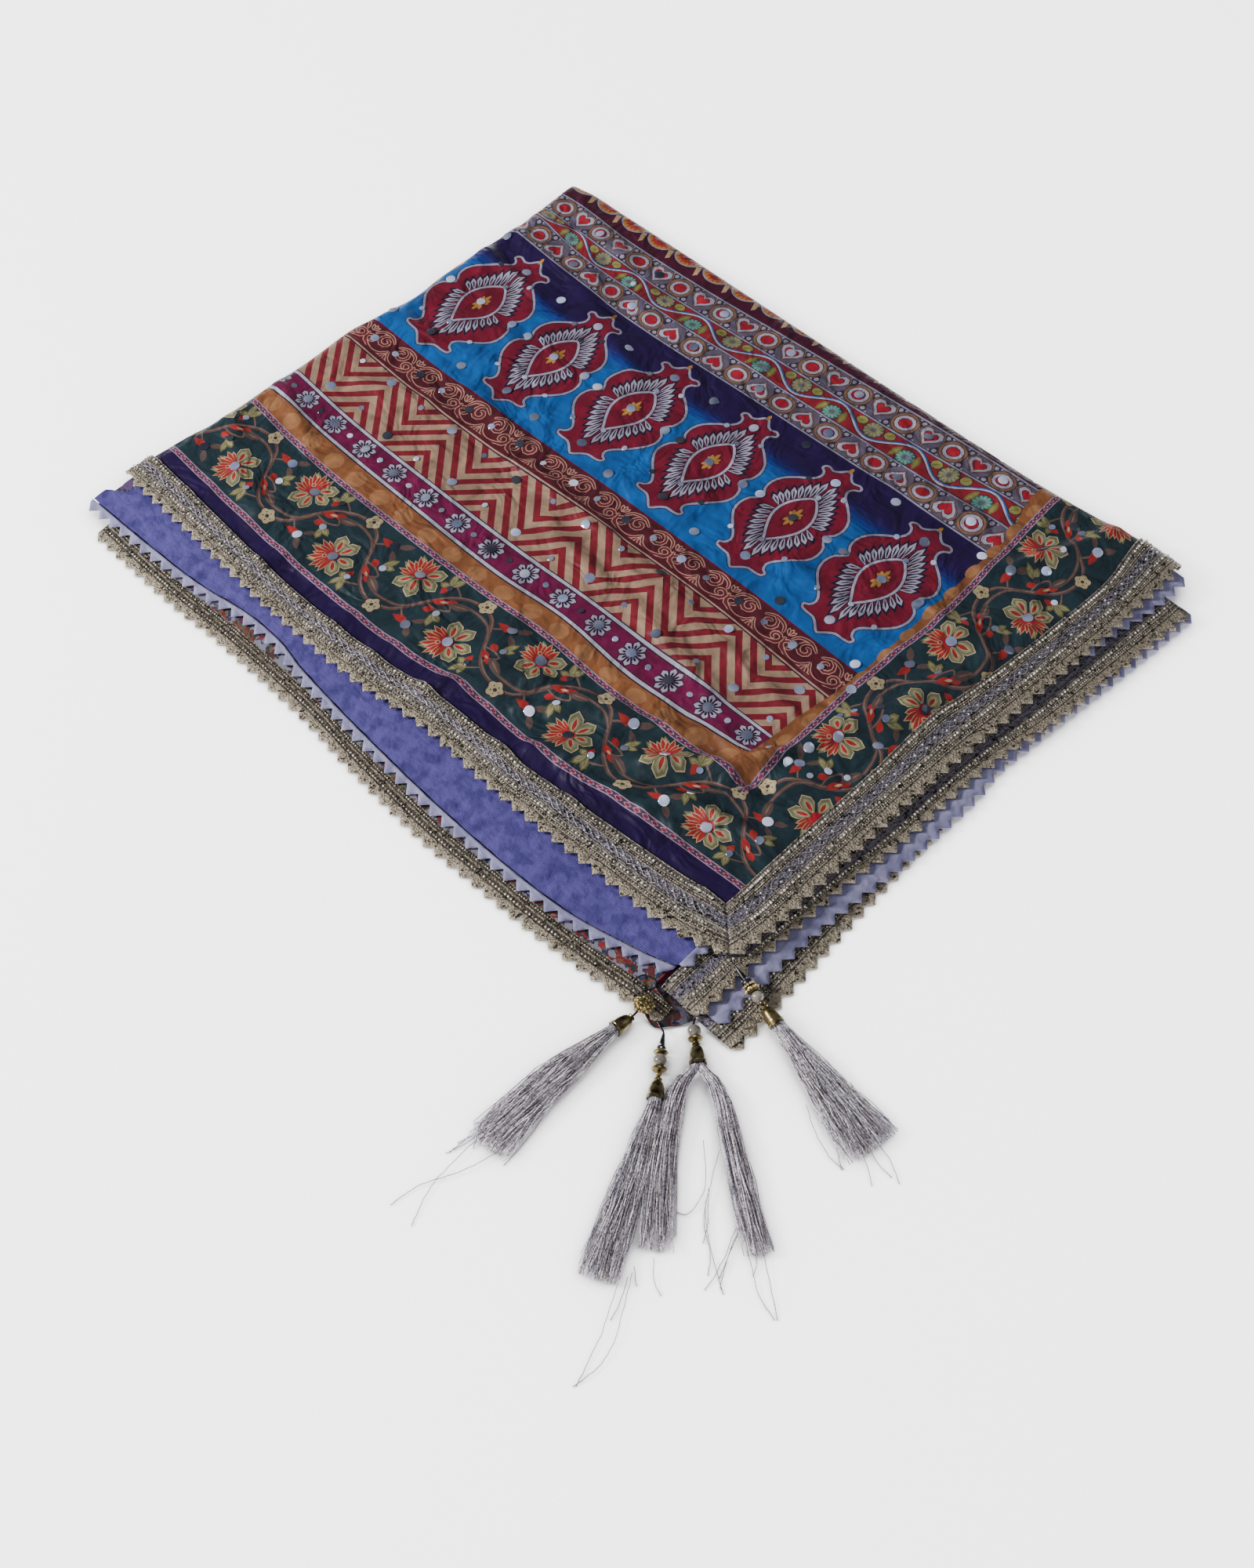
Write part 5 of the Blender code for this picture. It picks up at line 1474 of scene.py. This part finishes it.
def build_reverse():
    """Second layer, reverse side up, with its pale toothed edging."""
    columns, rows = 180, 26
    x, f = np.meshgrid(np.linspace(0, 1, columns), np.linspace(0, 1, rows), indexing="ij")
    left = mix(-508.5, REVERSE_LEFT, ease((f - 0.68) / 0.17))
    x = mix(left, REVERSE_RIGHT, x)
    points = reverse_surface(x.ravel(), f.ravel())
    sheet = add_mesh("lavender_panel", points, grid_faces(columns, rows), lavender)
    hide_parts("reverse_panel")
    plain = [(0.0, 0.1, "c9c8d8"), (0.35, 0.25, "c9c8d8"), (0.7, 0.15, "bcbcd4"), (1.0, 0.0, "b6b5dc")]

    def end_place(s, w):
        beyond = np.maximum(w - 1, 0)
        y = curve(REVERSE_FOOT, s) - SEAM - EDGING_BAND * np.minimum(w, 1) - EDGING_TOOTH * beyond
        z = mix(*EDGING_Z, np.minimum(w, 1)) + reverse_rise(s) - EDGING_DROOP * beyond
        return np.stack([s, y, z + 0.2], axis=-1)

    def corner_place(s, w):
        x = (REVERSE_RIGHT + GAP + EDGING_BAND * np.minimum(w, 1)
             + (EDGING_TOOTH - 0.6) * np.maximum(w - 1, 0))
        f = (REVERSE_INNER - s) / (REVERSE_INNER - float(curve(REVERSE_FOOT, REVERSE_RIGHT)))
        rise = float(reverse_rise(np.array(REVERSE_RIGHT)))
        z = curve(REVERSE_Z, np.minimum(f, 1)) + rise * f + CORNER_RAISE
        return np.stack([x, s, z], axis=-1)

    def back_place(s, w):
        out = mix(*BACK_EDGING_OUT, ease((s - 322) / 50))
        x = mix(STRIP_START, out, np.minimum(w, 1)) + TOOTH * np.maximum(w - 1, 0)
        return np.stack([x, s, BACK_EDGING_Z - 0.35 * np.minimum(w, 2)], axis=-1)

    pieces = []
    for name, place, start, end, teeth in (("reverse_edging_end", end_place, -520.2, -18.6, 49),
                                           ("reverse_edging_corner", corner_place, -22.6, -2.4, 2),
                                           ("reverse_edging_back", back_place, 306, 401, 9)):
        item = strip("shown_" + name, place, start, end, teeth, plain, 0.6, pale)
        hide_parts(name)
        pieces.append(item)
    return sheet, pieces


def lower_outer(x):
    return curve(LOWER_TIPS, x) + LOWER_LACE_WIDTH + LOWER_TOOTH


def build_lower():
    """Third layer: printed cloth and its end lace."""
    columns, rows = 150, 14
    u, f = np.meshgrid(np.linspace(0, 1, columns), np.linspace(0, 1, rows), indexing="ij")
    right = mix(*LOWER_RIGHT, ease((f - 0.86) / 0.1))
    x = mix(LOWER_LEFT, right, u)
    y = mix(LOWER_INNER, lower_outer(x) - 0.8, f)
    near = ease((x + 40) / 14)
    y = np.where(f > 0.7, np.minimum(y, mix(y, -38.0 - 30 * (f - 0.8), near)), y)
    z = curve(LOWER_Z, f) - LOWER_NEAR_DROP * near * ease((f - 0.6) / 0.4)
    z = z + 0.25 * np.sin(x / 7.0) * ease((f - 0.5) / 0.3)
    points = np.stack([x, y, z], axis=-1).reshape(-1, 3)
    tints = np.ones((len(points), 3))
    tints[points[:, 0] < -498] = (0.5, 0.35, 0.6)
    sheet = add_mesh("under_panel", points, grid_faces(columns, rows), slivers, tints)
    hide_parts("lower_panel")

    def place(s, w):
        y = lower_outer(s)
        y = np.minimum(y, mix(y, -41.8, ease((s + 40) / 14)))
        a = np.stack([s, y, np.full_like(s, LOWER_LACE_Z[0])], axis=-1)
        b = np.stack([s, curve(LOWER_TIPS, s) + LOWER_TOOTH, np.full_like(s, LOWER_LACE_Z[1])], axis=-1)
        body = mix(a, b, np.minimum(w, 1)[:, None])
        out = unit(b - a) * LOWER_TOOTH + np.array((0, 0, 0.15))
        return body + out * np.maximum(w - 1, 0)[:, None]

    lace = strip("third_lace_along_end", place, -499, -3.5, 50, NARROW_PROFILE, 0.7, lace_cloth)
    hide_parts("lower_lace")
    rows = [(0.2, 1.8, 1.0, "c9c2ae"), (0.6, 2.4, 1.3, "d8d2c8")]
    trim = lace_trim("third_lace_beads", place, -498, -6, rows)
    # Dark sheet over the gap at the corner: partly the cloth there, partly painted shade, tinted 0.45 of the
    # slivers.
    rim = smoothed([(-26, -33), (-14, -32), (-2, -30), (8.5, -35.5), (6.5, -44), (2, -50.5), (-3.5, -56.5),
                    (-12, -55), (-22, -49)], 3)
    heights = 1.5 + 0.5 * np.sin(np.arange(len(rim)) * 1.3)
    corner = np.concatenate([np.column_stack([rim, heights]), [(-8, -46, 2.6)]])
    count = len(rim)
    corner_sheet_and_shade = add_mesh("corner_fold_and_shade", corner, [(k, (k + 1) % count, count) for k in range(count)], slivers,
                     np.full((count + 1, 3), 0.45))
    return sheet, [lace, trim, corner_sheet_and_shade]


def build_side_hems():
    """Side hems of the layers below."""
    def hem(s, w, inner, foot, far_z, near_z):
        """Points of a hem from its inner edge out, with its height near the corner and far from it."""
        near = ease((14 - s) / 18)
        inside = np.minimum(w, 1)
        beyond = np.maximum(w - 1, 0)
        z = mix(mix(*far_z, inside), mix(*near_z, inside), near) - HEM_DROOP * beyond
        return np.stack([mix(inner, curve(foot, s), inside) + TOOTH * beyond, s, z], axis=-1)

    def middle(s, w):
        points = hem(s, w, curve(MIDDLE_INNER, s), MIDDLE_FOOT, MIDDLE_Z, MIDDLE_NEAR_Z)
        t = np.clip((s - FOLD_Y) / FOLD_REACH, 0, 1)
        rise = MIDDLE_BACK_RISE * ease((s - 366) / 18)
        points[:, 2] = mix(MIDDLE_FOLD_Z, points[:, 2], np.sqrt(1 - (1 - t) ** 2)) + rise
        return points

    def pale_hem(s, w):
        return hem(s, w, STRIP_START, PALE_FOOT, PALE_Z, PALE_NEAR_Z)

    def base(s, w):
        return hem(s, w, STRIP_START, BASE_TEETH_FOOT, BASE_Z, BASE_Z)

    pieces = []
    plain = [(0.0, 0.0, "6f66a8"), (0.72, 0.0, "7c76bb"), (0.78, 0.1, "4e4868"), (0.8, 0.35, "b9b8cc"),
             (0.9, 0.3, "b6b5c8"), (1.0, 0.1, "b6b5dc")]
    lace = strip("middle_lace_along_side", middle, FOLD_Y, 381, 39, LACE_PROFILE, 0.7, lace_cloth)
    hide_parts("middle_lace")
    tape = strip("middle_edging_along_side", pale_hem, -32, 384, 39, plain, 0.7, pale)
    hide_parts("middle_edging")
    low = strip("base_lace_along_side", base, FOLD_Y, 382, 39, LACE_PROFILE, 0.7, lace_cloth)
    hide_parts("base_lace")
    rows = [(0.12, 2.6, 1.5, "d8d2c8"), (0.235, 1.7, 0.9, "b0a68f"), (0.655, 2.6, 1.5, "d8d2c8"),
            (0.765, 1.7, 0.9, "b0a68f")]
    pieces += [lace, tape, low]
    pieces.append(lace_trim("middle_lace_beads", middle, FOLD_Y + 4, 380, rows))
    pieces.append(lace_trim("base_lace_beads", base, FOLD_Y + 2, 381, rows))
    return pieces


# Folded layers

BAND_TINTS = [(25, "2f1453"), (82, "1d3b3f"), (101, "b2733f"), (125, "861650"), (171, "a8605a"),
              (198, "571a22"), (290, "0e66ac"), (326, "2d1250"), (387, "7c6a80"), (999, "641438")]


def build_layers():
    """Hidden layers as one rounded stack of folds."""
    heights = [row[0] for row in CORE_RINGS]
    dense = np.unique(np.concatenate([np.linspace(a, b, 4) for a, b in zip(heights, heights[1:])]))
    along = 60
    corner = 5
    points, tints = [], []
    for z in dense:
        left, right, back, front = (np.interp(z, heights, [row[k] for row in CORE_RINGS])
                                    for k in (1, 2, 3, 4))
        ring = []

        def place(u, v):
            x_left = float(curve(LEFT_FOLD, max(mix(front, BACK_REACH, v), 0))) + left
            x = mix(x_left, CORE_RIGHT - right, u)
            return x, mix(front, float(curve(BACK_FOLD, x)) - back, v)

        def arc(cx, cy, start):
            for k in range(corner + 1):
                angle = start + math.pi / 2 * k / corner
                x, y = place(cx, cy)
                x += CORE_CORNER if cx == 0 else -CORE_CORNER
                y += CORE_CORNER if cy == 0 else -CORE_CORNER
                ring.append((x + CORE_CORNER * math.cos(angle), y + CORE_CORNER * math.sin(angle)))

        def edge(u0, v0, u1, v1):
            for k in range(1, along):
                t = mix(0.03, 0.97, k / along)
                ring.append(place(mix(u0, u1, t), mix(v0, v1, t)))

        arc(0, 0, math.pi)
        edge(0, 0, 1, 0)
        arc(1, 0, 1.5 * math.pi)
        edge(1, 0, 1, 1)
        arc(1, 1, 0)
        edge(1, 1, 0, 1)
        arc(0, 1, 0.5 * math.pi)
        edge(0, 1, 0, 0)
        count = len(ring)
        fold = int(z / 2.15)
        for k, (x, y) in enumerate(ring):
            points.append((x, y, z))
            where = y if fold % 2 == 0 else 400 - y
            tint = next(colour for limit, colour in BAND_TINTS if where < limit)
            if y > 392:
                tint = ("641438", "0e66ac", "2f1453", "861650", "1d3b3f")[fold % 5]
            tints.append(srgb(tint))
    faces = [tuple(reversed(range(count)))]
    levels = len(dense)
    faces += ring_faces(levels, count)
    faces.append(tuple(range((levels - 1) * count, levels * count)))
    item = add_mesh("folded_layers", points, faces, satin, tints)
    item.data.set_sharp_from_angle(angle=math.radians(50))
    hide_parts("core")
    return item


# Tassels

def turned_piece(name, start, end, profile, material, sides=40):
    """Turned piece between two points, from a profile of (place, radius)."""
    start, end = np.array(start, float), np.array(end, float)
    axis = unit(end - start)
    side = unit(np.cross(axis, (0, 0, 1)))
    up = np.cross(side, axis)
    points = []
    for place, radius in profile:
        points += around(start + axis * place, side, up, radius, sides)
    faces = [(a, d, c, b) for a, b, c, d in ring_faces(len(profile), sides)]
    faces.append(tuple(range(sides)))
    last = (len(profile) - 1) * sides
    faces.append(tuple(reversed(range(last, last + sides))))
    item = add_mesh(name, points, faces, material)
    item.data.set_sharp_from_angle(angle=math.radians(40))
    return item


def ball(radius, middle, steps=9, low=0.28):
    """Profile of a round bead with a small hole at each end."""
    angles = np.linspace(low, math.pi - low, steps)
    return [(middle - radius * math.cos(a), radius * math.sin(a)) for a in angles]


BELL = [(0.0, 1.5), (0.15, 2.0), (0.7, 2.25), (1.1, 1.9), (1.4, 1.75), (1.9, 2.3), (2.8, 3.1), (4.2, 3.65),
        (6.0, 4.0), (8.6, 4.3), (10.2, 4.4), (10.6, 4.75), (11.2, 4.85), (11.6, 4.6), (12.1, 4.7),
        (12.4, 4.75), (12.4, 4.3), (10.8, 4.0)]


def build_findings():
    """Caps, beads and ties of the tassels."""
    for name, (start, end) in CAPS.items():
        metal = gold if name == "tassel_four" else brass
        cap = turned_piece(name + "_bell", start, end, BELL, metal, 48)
        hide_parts(name + "_cap")
        rim_at = mix(np.array(start), np.array(end), 0.99)
        axis = unit(np.array(end, float) - np.array(start, float))
        turned_piece(name + "_mouth", rim_at - axis * 1.2, rim_at, [(0, 4.2), (1.1, 4.3), (1.3, 4.1)],
                     dark_metal, 32)
    rows = {
        "tassel_two_beads": ((9.45, -65.2, 4.65), (20.0, -78.3, 4.9), [
            ("rondelle", [(0.3, 1.6), (0.6, 3.4), (1.3, 4.0), (2.0, 3.4), (2.3, 2.2)], gold, "brass"),
            ("pearl", ball(3.9, 6.2), pearl, "pearl_bead"),
            ("rondelle_low", [(9.9, 2.2), (10.3, 3.6), (11.2, 4.2), (12.1, 3.6), (12.5, 2.0)], gold, "brass"),
            ("small", ball(1.7, 14.3), gold, "brass")]),
        "tassel_three_beads": ((11.4, -42.6, 5.0), (19.7, -49.3, 5.0), [
            ("pearl", ball(3.8, 3.6), pearl, "pearl_bead"),
            ("rondelle", [(7.0, 2.0), (7.3, 3.6), (8.0, 4.2), (8.8, 3.6), (9.1, 2.0)], gold, "brass"),
            ("small", ball(1.5, 10.2), gold, "brass")]),
        "tassel_four_beads": ((0.0, -1.5, 10.6), (30.6, -8.2, 7.3), [
            ("neck", [(0.2, 0.35), (5.0, 0.5), (9.0, 1.2), (13.4, 1.6)], dark_metal, "gunmetal"),
            ("dark", ball(3.0, 16.4), dark_metal, "gunmetal"),
            ("facets", [(18.4, 1.8), (19.2, 3.1), (20.6, 3.4), (22.0, 3.1), (22.6, 1.8)], gold, "brass"),
            ("pearl", ball(3.4, 25.8), pearl, "pearl_bead"),
            ("small", ball(1.6, 30.0), gold, "brass")]),
        "tassel_one_bead": ((-15.8, -50.8, 6.7), (-15.4, -54.8, 6.1), [
            ("middle", [(0.2, 1.4), (0.9, 3.2), (2.0, 3.6), (3.1, 3.2), (3.8, 1.6)], gold, "brass")]),
        "tassel_two_cone": ((3.2, -56.6, 4.0), (9.2, -64.9, 4.6), [
            ("cone", [(0.0, 0.5), (1.0, 0.75), (8.6, 2.0), (9.0, 2.4), (9.9, 2.3), (10.1, 1.9)], dark_metal,
             "gunmetal")])}
    for node, (start, end, parts) in rows.items():
        items = [turned_piece(node + "_" + part, start, end, profile, material, 32)
                 for part, profile, material, slot in parts]
        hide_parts(node)
        if node != "tassel_two_cone":
            axis = unit(np.array(end, float) - np.array(start, float))
            reach = np.linalg.norm(np.array(end, float) - np.array(start, float))
            turned_piece(node + "_thread", start, end, [(0.1, 0.45), (reach - 0.1, 0.45)], dark_metal,
                         8)
    ties = {"tassel_one_tie": ((-15.4, -55.2, 6.0), (-15.2, -61.2, 5.1)),
            "tassel_two_tie": ((-4.4, -53.3, 2.1), (2.9, -56.3, 3.9)),
            "tassel_three_tie": ((8.6, -38.3, 4.3), (11.1, -42.2, 4.9))}
    for name, (start, end) in ties.items():
        reach = math.dist(start, end)
        profile = [(reach * k / 12, 0.62 + 0.14 * math.sin(k * 2.1)) for k in range(13)]
        item = turned_piece(name + "_cord", start, end, profile, dark_metal, 10)
        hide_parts(name)
    centres, sizes, tints = [], [], []
    for z, radius, count in ((6.0, 4.9, 15), (7.6, 3.4, 11)):
        centres += around(np.array((-15.8, -52.4, z)), np.array((1, 0, 0)), np.array((0, 1, 0)), radius,
                          count)
        sizes += [1.9] * count
        tints += [np.array(srgb("a8945c"))] * count
    start, end = (np.array(p) for p in rows["tassel_four_beads"][:2])
    axis = unit(end - start)
    side = unit(np.cross(axis, (0, 0, 1)))
    up = np.cross(side, axis)
    for place, radius, count, tint in ((14.4, 2.5, 9, "6f6a78"), (17.9, 3.2, 12, "d8bf86"),
                                       (20.6, 3.8, 13, "d8bf86")):
        centres += around(start + axis * place, side, up, radius, count, place)
        sizes += [1.6] * count
        tints += [np.array(srgb(tint))] * count
    centres += [np.array((9.0, -64.6, 6.6)), np.array((7.4, -63.6, 6.4))]
    sizes += [1.3] * 2
    tints += [np.array(srgb("e6e4ea"))] * 2
    beads("seed_beads", centres, sizes, tints, bead_metal, 5, 8)


def bundle_place(name, a, b, t):
    """Points of one thread of a bundle; a and b run from -1 to 1."""
    cap, shift, radius, _, stations = BUNDLES[name]
    start, end = (np.array(p, float) for p in CAPS[cap])
    axis = unit(end - start)
    side = unit(np.cross((0, 0, 1), axis))
    root = start + axis * (CAP_LENGTH - 1.4) + side * shift
    mouth = start + axis * (CAP_LENGTH + 1.6) + side * shift
    keys = [0.0, 0.08] + [mix(0.08, 1.0, (k + 1) / len(stations)) for k in range(len(stations))]
    centres = [root, mouth] + [np.array(row[:3]) for row in stations]
    wides = [radius, radius] + [row[3] for row in stations]
    highs = [radius, radius] + [row[4] for row in stations]
    wide = curve(list(zip(keys, wides)), t)
    high = curve(list(zip(keys, highs)), t)

    def centre(at):
        return np.stack([curve(list(zip(keys, [c[k] for c in centres])), at) for k in range(3)], axis=-1)

    across = unit(np.cross((0, 0, 1), centre(np.minimum(t + 0.02, 1)) - centre(np.maximum(t - 0.02, 0))))
    return centre(t) + across * (a * wide)[:, None] + np.stack([0 * t, 0 * t, b * high], axis=-1)


def build_threads():
    """Fine threads of the five bundles, with their strays."""
    for number, (name, bundle) in enumerate(BUNDLES.items()):
        chance = random.Random(number + 11)
        count = bundle[3]
        piece = ([], [], [])
        t = np.concatenate([[0.0, 0.05, 0.1], np.linspace(0.18, 1.0, 10)])
        for k in range(count):
            r = math.sqrt((k + 0.5) / count)
            angle = k * GOLDEN_ANGLE
            a0, b0 = r * math.cos(angle), r * math.sin(angle)
            swap = chance.uniform(-0.5, 0.5)
            phase = chance.uniform(0, 6.28)
            reach = chance.uniform(0.92, 1.02) - (0.16 if chance.random() < 0.08 else 0)
            own = t * reach
            pace = chance.uniform(3.0, 9.0)
            a = a0 * (1 + swap * 0.3) + 0.22 * ease(own / 0.4) * np.sin(own * pace + phase)
            a = a + 0.05 * np.sin(own * pace * 4.1 + phase * 3)
            b = b0 * 0.96 + 0.14 * np.sin(own * (12 - pace) + phase * 2) * ease(own / 0.3)
            line = bundle_place(name, np.clip(a, -1.25, 1.25), np.clip(b, -1.0, 1.08), own)
            line[:, 2] = np.maximum(line[:, 2], 0.7)
            thread = tube(line, chance.uniform(0.26, 0.36), 3, 0.7)
            tone = chance.choice((0.55, 0.85, 1.15, 1.3)) * chance.uniform(0.85, 1.1)
            warm = chance.uniform(-0.03, 0.03)
            base = np.array(srgb("e8e2ec")) * tone + (warm, 0, -warm)
            join(piece, *thread, np.clip(base, 0, 1))
        item = add_mesh(name[:-8] + "_threads", piece[0], piece[1], threads, piece[2])
        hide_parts(name)
    piece = ([], [], [])
    chance = random.Random(5)
    for stray in STRAYS:
        path = smoothed(stray, 5, closed=False)
        z = np.linspace(2.6, 0.5, len(path))
        line = np.concatenate([path, z[:, None]], axis=1)
        line[:, :2] += np.array([(chance.gauss(0, 0.15), chance.gauss(0, 0.15)) for _ in line])
        join(piece, *tube(line, 0.24, 3), srgb("9a96a6"))
    add_mesh("stray_threads", piece[0], piece[1], threads, piece[2])
    loop = smoothed([(-17, -50), (-24, -50.5), (-29, -46), (-28, -39.5), (-22, -37.5), (-18.5, -41),
                     (-21, -46), (-26, -47)], 4, closed=False)
    line = np.column_stack([loop, 6.6 + 1.0 * np.sin(np.arange(len(loop)) * 0.3)])
    loop_points, loop_faces = tube(line, 0.55, 6)
    dark = np.full((len(loop_points), 3), 0.015)
    add_mesh("thread_loop", loop_points, loop_faces, threads, dark)


# Set-up

# The photograph's focal length and height in pixels
FOCAL_PIXELS = 2541
PHOTO_HEIGHT = 2000


def build_stage():
    """Pale floor, soft light and the camera at the photograph's angle."""
    mesh = bpy.data.meshes.new("floor")
    mesh.from_pydata([(-6, -6, 0), (6, -6, 0), (6, 6, 0), (-6, 6, 0)], [], [(0, 1, 2, 3)])
    floor = bpy.data.objects.new("floor", mesh)
    bpy.context.scene.collection.objects.link(floor)
    material, tree, shader = start_material("pale_floor", 0.9)
    shader.inputs["Base Color"].default_value = (0.93, 0.93, 0.93, 1)
    shader.inputs["Specular IOR Level"].default_value = 0.05
    shader.inputs["Emission Color"].default_value = (1.0, 1.0, 1.0, 1)
    # The floor glows evenly, and ambient occlusion dims the glow near the pieces: a painted contact shadow.
    painted_contact_shadow = tree.nodes.new("ShaderNodeAmbientOcclusion")
    painted_contact_shadow.inputs["Distance"].default_value = 0.07
    glow = spread(tree, painted_contact_shadow, "AO", 0.1, 3.1, 0.5)
    link(tree, glow, "Result", shader, "Emission Strength")
    floor.data.materials.append(material)

    world = bpy.data.worlds.new("studio")
    world.use_nodes = True
    world.node_tree.nodes["Background"].inputs["Color"].default_value = (0.92, 0.94, 1.0, 1)
    world.node_tree.nodes["Background"].inputs["Strength"].default_value = 0.24
    bpy.context.scene.world = world

    target = Vector((0.0, 0.0, 0.01))
    for name, place, size, energy, tone in (
            ("key", (-1.35, -1.4, 1.1), 0.5, 70, (1.0, 0.98, 0.96)),
            ("fill", (1.4, 1.6, 2.0), 1.6, 6, (0.92, 0.95, 1.0)),
            ("front", (1.3, -1.5, 1.5), 1.2, 8, (1.0, 0.99, 0.97))):
        lamp = bpy.data.lights.new(name, "AREA")
        lamp.size = size
        lamp.energy = energy
        lamp.color = tone
        item = bpy.data.objects.new(name, lamp)
        item.location = place
        item.rotation_euler = (target - Vector(place)).to_track_quat("-Z", "Y").to_euler()
        bpy.context.scene.collection.objects.link(item)

    along_x = (0.71385, 0.57590, -0.39844)
    along_y = (0.70015, -0.57538, 0.42276)
    along_z = (0.01422, -0.58075, -0.81395)
    right, down, ahead = (Vector((along_x[k], along_y[k], along_z[k])) for k in range(3))
    lens = bpy.data.cameras.new("camera")
    lens.sensor_fit = "VERTICAL"
    lens.sensor_height = 36
    lens.lens = FOCAL_PIXELS / PHOTO_HEIGHT * lens.sensor_height
    lens.clip_start = 0.05
    camera = bpy.data.objects.new("camera", lens)
    camera.matrix_world = Matrix((right, -down, -ahead)).transposed().to_4x4()
    camera.location = Vector((0.3345, -0.4413, 0.9414)) + Vector(SHIFT * MM)
    bpy.context.scene.collection.objects.link(camera)
    bpy.context.scene.camera = camera


build_stage()
panel = build_panel()
discs = build_mirrors()
lace_pieces = build_top_lace()
reverse_sheet, edging_pieces = build_reverse()
under_sheet, under_pieces = build_lower()
hem_pieces = build_side_hems()
layers = build_layers()
build_findings()
build_threads()
